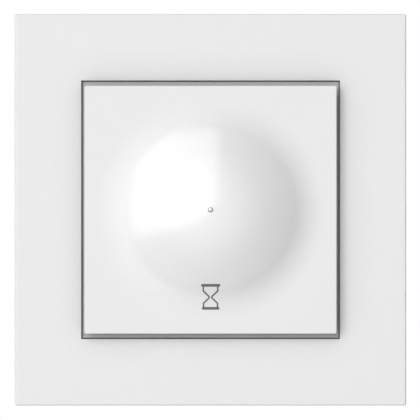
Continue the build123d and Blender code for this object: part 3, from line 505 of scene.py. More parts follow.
@dataclass(frozen=True)
class PolishedKey(MouldedPlastic):
    """The key's plastic: satin on its flat, and polished on the crown of the dome, whose colour carries
    painted shading.
    """

    crown_r: float = 18.4
    fade: float = 0.8
    flat_coat: float = 0.03
    middle_r: float = 3.0
    middle_painted_light: float = 1.03
    rim_r: float = 14.0
    rim_painted_shade: float = 0.925
    crown_roughness: float = 0.5
    coat_ior: float = 1.7
    coat_roughness: float = 0.18

    def dress(self, job: Job) -> None:
        """Adds a clear coat that lies on the crown only, and paints shading on the crown: lighter in its
        middle and darker towards its rim.

        Args:
            job: the material in the making.
        """
        super().dress(job)
        tree = job.tree
        plain, satin = (job.sockets[name].links[0].from_socket for name in ("Base Color", "Roughness"))
        radius = tree.add("VectorMath", {0: tree.wall_places()}, operation="LENGTH").outputs["Value"]
        edge, fade = self.crown_r * MM, self.fade * MM
        crown = tree.span(radius, edge - fade, edge + fade, 1.0, 0.0)
        # Painted shading: the crown is made lighter in its middle and darker towards its rim.
        rim = tree.span(
            radius, self.middle_r * MM, self.rim_r * MM, self.middle_painted_light, self.rim_painted_shade,
            interpolation_type="SMOOTHSTEP",
        )
        job.fill({
            "Base Color": tree.gain(plain, tree.span(crown, 0.0, 1.0, 1.0, rim)),
            "Roughness": tree.span(crown, 0.0, 1.0, satin, self.crown_roughness),
            "Coat Weight": tree.maths(Op.HIGHEST, crown, self.flat_coat),
            "Coat IOR": self.coat_ior,
            "Coat Roughness": self.coat_roughness,
        })


@dataclass(frozen=True)
class PlatedSteel(Finish):
    """Rolled or drawn steel under zinc or nickel, or brass."""

    stain: Colour = (0.52, 0.52, 0.47)
    roughness: float = 0.32
    depth: float = 0.002
    dust_shade_amount: float = 0.5
    film: Colour = (0.12, 0.11, 0.1)
    dust_shade_reach: float = 2.0
    wear: float = 0.7
    wear_and_highlight_width: float = 0.15
    wear_and_highlight_step: float = 0.2

    def dress(self, job: Job) -> None:
        """Lays streaks, stains, dirt with painted shade in the crevices, and bright edges of wear with a
        painted highlight on the metal.

        Args:
            job: the material in the making.
        """
        tree, effects = job.tree, job.effects
        skin = effects.streaks.place(
            tree, Colour=self.colour, Stain=self.stain, Roughness=self.roughness, Depth=self.depth
        )
        # Dirt and painted shade in the crevices.
        dust_shaded = effects.dust.place(
            tree, Colour=skin.pop("Colour"), Film=self.film, Amount=self.dust_shade_amount,
            Reach=self.dust_shade_reach * MM,
        )["Colour"]
        # Bright edges: wear, and a painted highlight.
        mask = effects.wear.place(tree, Width=self.wear_and_highlight_width, Amount=self.wear)["Mask"]
        bright = tree.blend(mask, dust_shaded, lighter(self.colour, self.wear_and_highlight_step))
        job.fill({"Base Color": bright, **skin, "Metallic": 1.0})


@dataclass(frozen=True)
class CastLens(Finish):
    """Clear or milky plastic that light passes through, with a faint ripple."""

    roughness: float
    ior: float
    clear: float
    ripple: float = 0.0006
    spread: float = 0.04
    drift: float = 0.02

    def dress(self, job: Job) -> None:
        """Sets a body that is clear or partly so.

        Args:
            job: the material in the making.
        """
        effects = job.effects
        skin = effects.grain.place(job.tree, Depth=self.ripple, Roughness=self.roughness, Spread=self.spread)
        tone = effects.tone.place(job.tree, Colour=self.colour, Amount=self.drift)["Colour"]
        job.fill({"Base Color": tone, **skin, "Transmission Weight": self.clear, "IOR": self.ior})


@dataclass(frozen=True)
class BoardLaminate(Finish):
    """Glass-fibre board under a green solder mask, with copper lines beneath it.

    A line's width is a share of the lines' pitch.
    """

    copper: Colour = (0.07, 0.3, 0.12)
    pitch: float = 3.4
    randomness: float = 0.8
    line: float = 0.05
    line_rise: float = 0.03
    mask_roughness: float = 0.28
    face_span: Pair = (0.5, 0.7)
    edge: Colour = (0.42, 0.36, 0.16)
    edge_roughness: float = 0.7
    fibre_size: float = 0.3
    fibre_stretch: Point = (1.0, 4.0, 1.0)
    fibre_gain: float = 1.4
    film: Colour = (0.05, 0.05, 0.04)
    dust_shade_amount: float = 0.3
    dust_shade_reach: float = 2.0

    def dress(self, job: Job) -> None:
        """Draws the copper lines through the mask, and bare laminate on the edges.

        Args:
            job: the material in the making.
        """
        tree = job.tree
        cells = {"Vector": tree.wall_places(), "Scale": 1 / (self.pitch * MM), "Randomness": self.randomness}
        near, next_near = (
            tree.add(
                "TexVoronoi", cells, feature=feature, distance="CHEBYCHEV", voronoi_dimensions="2D"
            ).outputs["Distance"]
            for feature in ("F1", "F2")
        )
        lines = tree.span(tree.maths(Op.LESS, next_near, near), self.line, 2 * self.line, 1.0, 0.0)
        green = tree.blend(lines, self.colour, self.copper)
        facing = tree.add("SeparateXYZ", {0: tree.add("NewGeometry").outputs["Normal"]}).outputs["Y"]
        face = tree.span(tree.maths(Op.ABSOLUTE, facing), *self.face_span, 0.0, 1.0)
        fibres = tree.noise(self.fibre_size, detail=3.0, stretch=self.fibre_stretch)
        bare = tree.blend(fibres, self.edge, tuple(c * self.fibre_gain for c in self.edge))
        # Dust and painted shade in the crevices.
        dust_shaded = job.effects.dust.place(
            tree, Colour=tree.blend(face, bare, green), Film=self.film, Amount=self.dust_shade_amount,
            Reach=self.dust_shade_reach * MM,
        )["Colour"]
        job.fill({
            "Base Color": dust_shaded,
            "Roughness": tree.span(face, 0.0, 1.0, self.edge_roughness, self.mask_roughness),
            "Normal": tree.bump(tree.maths(Op.TIMES, lines, face), self.line_rise * MM),
        })


@dataclass(frozen=True)
class Ink(Finish):
    """Printed grey ink, faintly mottled."""

    roughness: float = 0.5
    grain: float = 0.002
    spread: float = 0.1
    drift: float = 0.15

    def dress(self, job: Job) -> None:
        """Lays a film of ink.

        Args:
            job: the material in the making.
        """
        effects = job.effects
        skin = effects.grain.place(job.tree, Depth=self.grain, Roughness=self.roughness, Spread=self.spread)
        tone = effects.tone.place(job.tree, Colour=self.colour, Amount=self.drift)["Colour"]
        job.fill({"Base Color": tone, **skin})


# The values stand in the order of each class's fields: a MouldedPlastic has its slot, colour,
# roughness, grain, drift, the colour, amount and reach of its film of dust and painted shade, and
# its wear with painted edge highlight, and a PlatedSteel its slot, colour, stain, roughness, depth
# and the amount of its film of dirt and painted shade. The last five are finishes of new pieces only.
FINISHES = (
    # The frame's and the key's films are painted shade: a soft halo round the raised key, and darkening near
    # the key's edges.
    MouldedPlastic(
        "frame", (0.8, 0.8, 0.797), 0.55, 0.0008, 0.01, (0.3, 0.3, 0.3), 0.36, 8.0,
        specular=0.2, dust_shade_full=0.77,
    ),
    PolishedKey("key", (0.8, 0.8, 0.797), 0.85, 0.0008, 0.01, (0.15, 0.15, 0.15), 0.4, 2.0, specular=0.6),
    # The ring's near-black film paints the dark shade lines in the groove round the key, and its mid grey is
    # partly painted shade of that deep groove.
    MouldedPlastic(
        "ring", (0.54, 0.54, 0.538), 0.45, 0.003, 0.03, (0.02, 0.02, 0.02), 0.95, 0.3, dust_shade_full=0.8
    ),
    CastLens("light_guide", (0.97, 0.97, 0.97), roughness=0.25, ior=1.49, clear=0.1),
    PlatedSteel("spring_steel", (0.55, 0.55, 0.56), roughness=0.25),
    PlatedSteel("plate_steel", (0.5, 0.51, 0.52)),
    PlatedSteel("claw_steel", (0.5, 0.51, 0.52), roughness=0.38),
    PlatedSteel("screw_steel", (0.66, 0.66, 0.66), roughness=0.28),
    MouldedPlastic("housing", (0.68, 0.68, 0.66), 0.5, 0.008, 0.05, (0.15, 0.15, 0.14), 0.5, 3.0, 0.25),
    MouldedPlastic("housing_cover", (0.6, 0.6, 0.59), 0.5, 0.008, 0.05, (0.15, 0.15, 0.14), 0.5, 3.0, 0.25),
    MouldedPlastic(
        "terminal_block", (0.2, 0.205, 0.21), 0.48, 0.008, 0.08, (0.05, 0.05, 0.05), 0.5, 3.0, 0.3
    ),
    PlatedSteel("tag_brass", (0.72, 0.5, 0.2), (0.5, 0.33, 0.13), 0.3),
    PlatedSteel("cage_steel", (0.66, 0.65, 0.62), (0.55, 0.52, 0.44), 0.3),
    BoardLaminate("board", (0.02, 0.16, 0.07)),
    MouldedPlastic("header_plastic", (0.02, 0.02, 0.02), 0.45, 0.004, 0.1, (0.1, 0.1, 0.1), 0.3, 1.5, 0.2),
    MouldedPlastic("switch_body", (0.03, 0.03, 0.032), 0.4, 0.004, 0.1, (0.12, 0.12, 0.12), 0.3, 1.5, 0.2),
    MouldedPlastic("switch_plunger", (0.62, 0.16, 0.04), 0.35, 0.003, 0.05, (0.2, 0.08, 0.04), 0.4, 1.5),
    CastLens("led_lens", (0.93, 0.92, 0.86), roughness=0.12, ior=1.52, clear=1.0),
    MouldedPlastic("trimmer_body", (0.03, 0.1, 0.4), 0.4, 0.004, 0.1, (0.02, 0.03, 0.08), 0.4, 1.5, 0.2),
    MouldedPlastic("trimmer_rotor", (0.78, 0.78, 0.74), 0.42, 0.004, 0.05, (0.3, 0.3, 0.28), 0.4, 1.5),
    MouldedPlastic("chip", (0.025, 0.025, 0.026), 0.55, 0.006, 0.12, (0.1, 0.1, 0.1), 0.2, 1.0, 0.15),
    MouldedPlastic("relay_case", (0.02, 0.06, 0.2), 0.22, 0.002, 0.08, (0.02, 0.02, 0.04), 0.3, 3.0, 0.2),
    MouldedPlastic("film_case", (0.7, 0.48, 0.06), 0.25, 0.002, 0.05, (0.2, 0.14, 0.04), 0.4, 3.0, 0.2),
    MouldedPlastic("can_sleeve", (0.03, 0.03, 0.05), 0.3, 0.003, 0.1, (0.02, 0.02, 0.02), 0.3, 3.0, 0.1),
    MouldedPlastic("varistor_coat", (0.04, 0.14, 0.42), 0.2, 0.02, 0.1, (0.02, 0.03, 0.08), 0.3, 3.0),
    MouldedPlastic("fuse_case", (0.42, 0.08, 0.03), 0.35, 0.004, 0.06, (0.1, 0.03, 0.02), 0.3, 3.0, 0.2),
    Ink("symbol_ink", (0.125, 0.125, 0.13)),
    PlatedSteel("solder", (0.78, 0.78, 0.76), (0.6, 0.6, 0.58), 0.24, 0.001, 0.4),
    MouldedPlastic("ceramic", (0.42, 0.29, 0.17), 0.5, 0.004, 0.08, (0.1, 0.07, 0.04), 0.3, 0.6),
    MouldedPlastic("glaze", (0.015, 0.015, 0.017), 0.3, 0.002, 0.1, (0.1, 0.1, 0.1), 0.3, 0.6),
    MouldedPlastic("white_mark", (0.72, 0.72, 0.7), 0.5, 0.003, 0.06, (0.3, 0.3, 0.3), 0.3, 0.6),
)


def add_to_scene(name: str, data: bpy.types.ID) -> bpy.types.Object:
    """Makes an object and puts it in the scene.

    Args:
        name: the object's name.
        data: its mesh, camera or lamp.

    Returns:
        The object, at the origin.
    """
    made = bpy.data.objects.new(name, data)
    bpy.context.scene.collection.objects.link(made)
    return made


def mesh_to_scene(name: str, mesh: Mesh, material: bpy.types.Material) -> bpy.types.Object:
    """Puts a finished mesh in the scene.

    Args:
        name: the object's name.
        mesh: the mesh, freed here.
        material: its material.

    Returns:
        The object.
    """
    data = bpy.data.meshes.new(name)
    mesh.to_mesh(data)
    mesh.free()
    data.materials.append(material)
    return add_to_scene(name, data)


class Workshop:
    """Holds the materials and turns bench meshes into finished pieces."""

    def __init__(self) -> None:
        """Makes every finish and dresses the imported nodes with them."""
        effects = SharedEffects()
        self.materials = {finish.slot: finish.material(effects) for finish in FINISHES}
        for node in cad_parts.values():
            slot = node.material_slots[0].material.name.split(".")[0]
            node.material_slots[0].material = self.materials[slot]
            log.info("dressed %s in %s", node.name, slot)

    def piece(
        self, name: str, mesh: Mesh, slot: str, body: Body | None = Body.INSERT, finish: str = "",
        smooth: float = 35.0,
    ) -> bpy.types.Object:
        """Finishes a bench mesh as a piece of the switch.

        Args:
            name: the piece's name.
            mesh: its closed mesh in bench millimetres, freed here.
            slot: the record's material slot.
            body: what it rides on, or None where it is left unattached.
            finish: the name of its finish, where it isn't the slot's own.
            smooth: edges that bend less than this many degrees are shaded smooth.

        Returns:
            The piece.
        """
        bmesh.ops.remove_doubles(mesh, verts=mesh.verts, dist=JOIN_GAP)
        bmesh.ops.recalc_face_normals(mesh, faces=mesh.faces)
        bmesh.ops.transform(mesh, matrix=BENCH_TO_FRAME, verts=mesh.verts)
        for face in mesh.faces:
            face.smooth = True
        for edge in mesh.edges:
            edge.smooth = edge.is_manifold and edge.calc_face_angle(0.0) < math.radians(smooth)
        made = mesh_to_scene(name, mesh, self.materials[finish or slot])
        if body is not None:
            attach(made, body.value)
        log.info("made %s, %d faces", name, len(made.data.polygons))
        return made

    def tinned_piece(self, name: str, mesh: Mesh) -> None:
        """Finishes a bench mesh on the insert as a piece of solder or tinned metal."""
        self.piece(name, mesh, "screw_steel", finish="solder")


@dataclass(frozen=True)
class Space:
    """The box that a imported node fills, in bench millimetres."""

    low: Vector
    high: Vector

    @classmethod
    def of(cls, node: str) -> "Space":
        """Reads a node's box from the frame."""
        low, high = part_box(node)
        return cls(Vector((low[0], low[2], -high[1])) / MM, Vector((high[0], high[2], -low[1])) / MM)

    @property
    def middle(self) -> Vector:
        """The middle of the box."""
        return (self.low + self.high) / 2


def row(count: int, pitch: float) -> list[float]:
    """Places at an even pitch, centred on 0."""
    return [(i - (count - 1) / 2) * pitch for i in range(count)]


def reach(edge: bmesh.types.BMEdge, axis: Axis) -> float:
    """How far an edge reaches along an axis."""
    return abs(edge.verts[0].co[axis.value] - edge.verts[1].co[axis.value])


def corners_of(geometry: list) -> list[bmesh.types.BMVert]:
    """The vertices among what an operator has made."""
    return [g for g in geometry if isinstance(g, bmesh.types.BMVert)]


def round_off(
    mesh: Mesh, parts: list, offset: float, segments: int, affect: Rounded = Rounded.EDGES
) -> None:
    """Bevels edges or corners of a mesh.

    Args:
        mesh: the mesh.
        parts: the edges or the corners.
        offset: how far from them the rounding starts.
        segments: how many steps the rounding has.
        affect: which of the two they are.
    """
    bmesh.ops.bevel(
        mesh, geom=parts, offset=offset, offset_type="OFFSET", segments=segments, affect=affect.value,
        profile=0.5, material=-1,
    )


def turn_section(mesh: Mesh, profile: list[Pair], centre: Vector, steps: int = 24) -> None:
    """Adds a section spun round an axis that stands out of the wall.

    Args:
        mesh: the mesh that it joins.
        profile: (radius, z) points along the section, from the axis to the axis.
        centre: a place on the axis, of which x and y count.
        steps: how many steps the full turn has.
    """
    x, y = centre[0], centre[1]
    corners = [mesh.verts.new((x + r, y, z)) for r, z in profile]
    edges = [mesh.edges.new(pair) for pair in zip(corners, corners[1:])]
    bmesh.ops.spin(
        mesh, geom=corners + edges, cent=(x, y, 0), axis=UP, angle=FULL_TURN, steps=steps, use_merge=True
    )
    bmesh.ops.remove_doubles(mesh, verts=mesh.verts, dist=JOIN_GAP)


def turned_spots(
    section: Section, places: list[Pair] | tuple[Pair, ...], level: float, steps: int = 16
) -> Mesh:
    """Stands the same small turned shape at several places.

    Args:
        section: (radius, height) points, from the foot to the top.
        places: where the axes stand, as (x, y).
        level: the z that the heights are counted from.
        steps: how many steps a full turn has.

    Returns:
        A mesh of them all.
    """
    mesh = bmesh.new()
    closed = ((0, section[0][1]), *section, (0, section[-1][1]))
    for place in places:
        turn_section(mesh, [(r, z + level) for r, z in closed], Vector((*place, 0)), steps)
    return mesh


def add_block(mesh: Mesh, centre: Vector, size: Point, rounding: float = 0.0, turn: float = 0.0) -> None:
    """Adds a block.

    Args:
        mesh: the mesh that it joins.
        centre: the block's middle.
        size: the lengths of its sides.
        rounding: how far its edges are rounded, or 0.
        turn: how far it is turned about the axis out of the wall, in radians.
    """
    place = Matrix.Translation(centre) @ Matrix.Rotation(turn, 4, "Z") @ Matrix.Diagonal((*size, 1))
    corners = bmesh.ops.create_cube(mesh, size=1, matrix=place)["verts"]
    if rounding:
        round_off(mesh, list({e for v in corners for e in v.link_edges}), rounding, segments=2)


def add_strip(mesh: Mesh, outline: list[Point], along: Vector) -> None:
    """Adds a solid drawn out from a flat outline.

    Args:
        mesh: the mesh that it joins.
        outline: the outline's corners in order.
        along: the way and the length that it is drawn out.
    """
    face = mesh.faces.new([mesh.verts.new(corner) for corner in outline])
    grown = bmesh.ops.extrude_face_region(mesh, geom=[face], use_keep_orig=True)["geom"]
    bmesh.ops.translate(mesh, vec=along, verts=corners_of(grown))


def draw_out_line(mesh: Mesh, height: float, thickness: float) -> None:
    """Draws a flat line out of the wall and gives it its thickness.

    Args:
        mesh: the line, as edges without faces.
        height: how far it is drawn out.
        thickness: how thick it becomes, to the inside, or to the outside where it is negative.
    """
    grown = bmesh.ops.extrude_edge_only(mesh, edges=mesh.edges)["geom"]
    bmesh.ops.translate(mesh, vec=(0, 0, height), verts=corners_of(grown))
    bmesh.ops.recalc_face_normals(mesh, faces=mesh.faces)
    bmesh.ops.solidify(mesh, geom=mesh.faces, thickness=thickness)


def packed_copy(node: str) -> Mesh:
    """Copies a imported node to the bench, with its loose triangles joined.

    Args:
        node: the node's name.

    Returns:
        The copy.
    """
    mesh = bmesh.new()
    mesh.from_mesh(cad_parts[node].data)
    bmesh.ops.transform(mesh, matrix=BENCH_TO_FRAME.inverted(), verts=mesh.verts)
    bmesh.ops.remove_doubles(mesh, verts=mesh.verts, dist=PACKED_JOIN_GAP)
    return mesh


def cut_across(mesh: Mesh, level: float, kept: Kept) -> None:
    """Cuts a mesh at a level and clears away what isn't kept.

    Args:
        mesh: the mesh.
        level: the z of the cut.
        kept: what is left of it.
    """
    bmesh.ops.bisect_plane(
        mesh, geom=mesh.verts[:] + mesh.edges[:] + mesh.faces[:], plane_co=(0, 0, level),
        plane_no=(0, 0, kept.value or 1), clear_inner=True, clear_outer=kept is Kept.OUTLINE,
    )


@dataclass
class PieceMaker:
    """Makes pieces of one kind in the workshop."""

    shop: Workshop


@dataclass
class KeyFace(PieceMaker):
    """The push key's print and light guide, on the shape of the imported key.

    A bar's numbers are its x, its y and its width, and the glass's are the right half's corners.
    """

    face_z: float = 11.5
    crown_r: float = 36.8
    foot_r: float = 11.2
    turn_at: float = 18.4
    foot_at: float = 24.0
    top_z: float = 17.93
    print_height: float = 0.02
    longest_edge: float = 0.5
    cutting_rounds: int = 3
    cuts: int = 2
    rounding_steps: int = 4
    bars: tuple[tuple[str, Point], ...] = (("upper", (0.025, -16.16, 4.06)), ("lower", (0.02, -21.09, 3.74)))
    bar_height: float = 0.56
    bar_print_height: float = 0.026
    bar_rounding: float = 0.2
    glass_half: Section = ((1.71, -16.12), (1.71, -17.43), (0.38, -18.7), (1.65, -19.92), (1.65, -21.15))
    glass_x: float = -0.01
    glass_rounding: float = 0.1
    stroke: float = 0.32
    guide_r: float = 1.2
    guide_edge: float = 0.15
    guide_steps: int = 48
    guide_bottom: float = 4.0
    guide_shoulder: float = 16.23
    guide_neck: float = 0.1
    guide_top: float = 17.9
    guide_tip_r: float = 0.45
    guide_flat_r: float = 0.2
    guide_tip_steps: int = 6
    guide_tip_shift: Point = (-0.03, 0.06, 0.0)

    def surface(self, x: float, y: float) -> float:
        """The height of the key's face over a place on the wall.

        Args:
            x: how far right of the middle.
            y: how far above the middle.

        Returns:
            The face's z.
        """
        radius = math.hypot(x, y)
        if radius < self.turn_at:
            return self.top_z - self.crown_r + math.sqrt(self.crown_r**2 - radius**2)
        if radius < self.foot_at:
            return self.face_z + self.foot_r - math.sqrt(self.foot_r**2 - (self.foot_at - radius) ** 2)
        return self.face_z

    def print_on_face(self, name: str, mesh: Mesh) -> None:
        """Cuts a flat print finely, lays it on the curved face and finishes it.

        Args:
            name: the piece's name.
            mesh: the print, drawn flat at z = 0 upwards.
        """
        bmesh.ops.triangulate(mesh, faces=mesh.faces)
        for _ in range(self.cutting_rounds):
            long_edges = [e for e in mesh.edges if e.calc_length() > self.longest_edge]
            if long_edges:
                bmesh.ops.subdivide_edges(mesh, edges=long_edges, cuts=self.cuts, use_grid_fill=True)
        for vert in mesh.verts:
            vert.co.z += self.surface(vert.co.x, vert.co.y) - self.print_height / 2
        self.shop.piece(name, mesh, "key", Body.KEY, "symbol_ink")

    def hourglass_bars(self) -> None:
        """Prints the bars above and below the glass, each a block with rounded corners."""
        for name, (x, y, width) in self.bars:
            mesh = bmesh.new()
            middle = Vector((x, y, self.bar_print_height / 2))
            add_block(mesh, middle, (width, self.bar_height, self.bar_print_height))
            upright = [e for e in mesh.edges if reach(e, Axis.Z) > self.bar_print_height / 2]
            round_off(mesh, upright, self.bar_rounding, self.rounding_steps)
            self.print_on_face(f"hourglass_{name}_bar", mesh)

    def hourglass_glass(self) -> None:
        """Prints the outline of the glass, which is the same on the left as on the right."""
        loop = list(self.glass_half) + [(-x, y) for x, y in reversed(self.glass_half)]
        mesh = bmesh.new()
        corners = [mesh.verts.new((x + self.glass_x, y, 0)) for x, y in loop]
        for pair in zip(corners, corners[1:] + corners[:1]):
            mesh.edges.new(pair)
        round_off(mesh, corners, self.glass_rounding, self.rounding_steps, Rounded.CORNERS)
        draw_out_line(mesh, self.print_height, self.stroke)
        self.print_on_face("hourglass_glass", mesh)

    def light_guide(self) -> None:
        """Turns the clear rod whose tip shows in the middle of the dome, a little off its middle."""
        r, tip, edge = self.guide_r, self.guide_tip_r, self.guide_edge
        profile = [
            (0, self.guide_bottom), (r - edge, self.guide_bottom), (r, self.guide_bottom + edge),
            (r, self.guide_shoulder - edge), (r - edge, self.guide_shoulder),
            (tip, self.guide_shoulder + self.guide_neck),
        ]
        rounding = tip - self.guide_flat_r
        for step in range(self.guide_tip_steps + 1):
            turn = QUARTER_TURN * step / self.guide_tip_steps
            profile.append((
                self.guide_flat_r + rounding * math.cos(turn),
                self.guide_top - rounding * (1 - math.sin(turn)),
            ))
        mesh = bmesh.new()
        turn_section(mesh, profile + [(0, self.guide_top)], Vector(), self.guide_steps)
        raised = [v for v in mesh.verts if v.co.z > self.guide_shoulder + self.guide_neck / 2]
        bmesh.ops.translate(mesh, vec=self.guide_tip_shift, verts=raised)
        rod = self.shop.piece("light_guide_rod", mesh, "light_guide", Body.KEY)
        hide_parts("light_guide")

    def build(self) -> None:
        """Makes the hourglass and the light guide."""
        self.hourglass_bars()
        self.hourglass_glass()
        self.light_guide()


@dataclass
class KeySprings(PieceMaker):
    """The two coil springs that push the key back out."""

    x: float = 8.0
    y: float = -17.0
    mean_r: float = 2.15
    wire_r: float = 0.2
    wire_sides: int = 12
    low: float = 3.0
    high: float = 9.0
    end_turns: float = 1.0
    middle_turns: float = 3.0
    steps_per_turn: int = 40

    def build(self) -> None:
        """Winds both springs, with a closed turn at each end."""
        closed_rise = 2 * self.wire_r * self.end_turns
        middle_rise = self.high - self.low - 2 * self.wire_r - 2 * closed_rise
        end, middle = (self.end_turns, closed_rise), (self.middle_turns, middle_rise)
        for side, sign in SIDES:
            x = sign * self.x
            mesh = bmesh.new()
            place = Matrix.Translation((x + self.mean_r, self.y, self.low + self.wire_r))
            upright = place @ Matrix.Rotation(QUARTER_TURN, 4, "X")
            bmesh.ops.create_circle(mesh, segments=self.wire_sides, radius=self.wire_r, matrix=upright)
            stage = mesh.verts[:] + mesh.edges[:]
            for turns, rise in (end, middle, end):
                steps = round(turns * self.steps_per_turn)
                stage = bmesh.ops.spin(
                    mesh, geom=stage, cent=(x, self.y, 0), axis=UP, dvec=(0, 0, rise / steps),
                    angle=FULL_TURN * turns, steps=steps,
                )["geom_last"]
            bmesh.ops.edgenet_fill(mesh, edges=[e for e in mesh.edges if e.is_boundary])
            coil = self.shop.piece(f"coil_spring_{side}", mesh, "spring_steel", None)
            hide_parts(f"key_spring_{side}")
            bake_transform(coil)


@dataclass
class ThreadedScrew(PieceMaker):
    """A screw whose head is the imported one's and whose shank has a real thread.

    Half the thread's foot is given as a share of its pitch.
    """

    node: str
    body: Body
    shank_r: float
    head_height: float
    pitch: float
    head_in_front: bool = True
    thread_depth: float = 0.22
    thread_half: float = 0.42
    stub: float = 0.05
    run_out: float = 0.35
    steps_per_turn: int = 20
    flat_angle: float = 2.0
    smooth_angle: float = 30.0

    def ends(self) -> tuple[float, float, int]:
        """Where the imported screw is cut, a stub behind its head, and where its tip is.

        Returns:
            The z of the cut, the z of the tip, and the way from one to the other, 1 or -1.
        """
        space = Space.of(self.node)
        if self.head_in_front:
            return space.high.z - self.head_height - self.stub, space.low.z, -1
        return space.low.z + self.head_height + self.stub, space.high.z, 1

    def head(self) -> Mesh:
        """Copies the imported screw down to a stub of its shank.

        Returns:
            The closed heads, in bench millimetres.
        """
        mesh = packed_copy(self.node)
        cut, _, way = self.ends()
        cut_across(mesh, cut, Kept(-way))
        bmesh.ops.holes_fill(mesh, edges=[e for e in mesh.edges if e.is_boundary], sides=0)
        limit = math.radians(self.flat_angle)
        bmesh.ops.dissolve_limit(mesh, angle_limit=limit, verts=mesh.verts, edges=mesh.edges)
        return mesh

    def shank(self, mesh: Mesh, centre: Vector) -> None:
        """Adds the shank's core and its thread.

        Args:
            mesh: the mesh that they join.
            centre: a place on the screw's axis.
        """
        cut, tip, way = self.ends()
        root = self.shank_r - self.thread_depth
        start = cut - way * 2 * self.stub
        core = [(0, start), (root, start), (root, tip - way * 2 * self.run_out), (root / 2, tip), (0, tip)]
        turn_section(mesh, core, centre)
        low, high = sorted((cut + way * self.pitch / 2, tip - way * (self.pitch / 2 + self.run_out)))
        half = self.pitch * self.thread_half
        inner = centre.x + root - self.stub
        loop = [mesh.verts.new(corner) for corner in (
            (inner, centre.y, low - half),
            (centre.x + self.shank_r, centre.y, low),
            (inner, centre.y, low + half),
        )]
        edges = [mesh.edges.new(pair) for pair in zip(loop, loop[1:] + loop[:1])]
        turns = (high - low) / self.pitch
        steps = round(turns * self.steps_per_turn)
        last = bmesh.ops.spin(
            mesh, geom=loop + edges, cent=(centre.x, centre.y, 0), axis=UP, dvec=(0, 0, (high - low) / steps),
            angle=FULL_TURN * turns, steps=steps,
        )["geom_last"]
        bmesh.ops.edgenet_fill(mesh, edges=edges)
        bmesh.ops.edgenet_fill(mesh, edges=[g for g in last if isinstance(g, bmesh.types.BMEdge)])

    def build(self, name: str, centres: list[Vector] | None = None) -> None:
        """Makes the screws of one node.

        Args:
            name: the piece's name.
            centres: a place on each screw's axis, where the node has more than one screw.
        """
        mesh = self.head()
        for centre in centres or [Space.of(self.node).middle]:
            self.shank(mesh, centre)
        screw = self.shop.piece(name, mesh, "screw_steel", self.body, smooth=self.smooth_angle)
        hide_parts(self.node)


@dataclass
class Fasteners(PieceMaker):
    """The insert's screws: four in the housing, two at the claws and four at the terminals."""

    housing_screw_x: float = 16.0
    housing_screw_ys: Pair = (-7.6, 16.0)

    def build(self) -> None:
        """Makes every screw with its thread."""
        shop, x = self.shop, self.housing_screw_x
        screws = ThreadedScrew(shop, "housing_screws", Body.INSERT, shank_r=1.2, head_height=1.2, pitch=0.8)
        centres = [Vector((across, up, 0)) for across in (-x, x) for up in self.housing_screw_ys]
        screws.build("housing_screw_set", centres)
        for side, _ in SIDES:
            body = Body(f"{side}_claw_screw")
            screw = ThreadedScrew(shop, f"claw_screw_{side}", body, shank_r=1.3, head_height=1.6, pitch=0.66)
            screw.build(f"{side}_claw_screw_threaded")
        for number in TERMINALS:
            screw = ThreadedScrew(
                shop, f"terminal_screw_{number}", Body(f"clamp_screw_{number}"), shank_r=1.5, head_height=1.9,
                pitch=0.7, head_in_front=False,
            )
            screw.build(f"clamp_screw_{number}_threaded")


@dataclass
class ClawBeads(PieceMaker):
    """The pressed bead that stiffens each claw's leg.

    Its ends are rounded by a share of its width, and its rim by a share of its height.
    """

    width: float = 1.7
    height: float = 0.5
    length: float = 8.6
    from_tip: float = 2.4
    leg_face: float = 23.9
    y: float = -8.0
    end_rounding: float = 0.49
    end_steps: int = 6
    rim_rounding: float = 0.7
    rim_steps: int = 4

    def build(self) -> None:
        """Presses a bead in both claws."""
        for side, sign in SIDES:
            tip = Space.of(f"claw_{side}").low.z
            mesh = bmesh.new()
            middle = Vector((sign * self.leg_face, self.y, tip + self.from_tip + self.length / 2))
            add_block(mesh, middle, (self.height * 2, self.width, self.length))
            across = [e for e in mesh.edges if reach(e, Axis.X) > self.height]
            round_off(mesh, across, self.width * self.end_rounding, self.end_steps)
            rim = [e for e in mesh.edges if reach(e, Axis.X) < self.height]
            round_off(mesh, rim, self.height * self.rim_rounding, self.rim_steps)
            self.shop.piece(f"{side}_claw_bead", mesh, "claw_steel", Body(f"{side}_claw"))


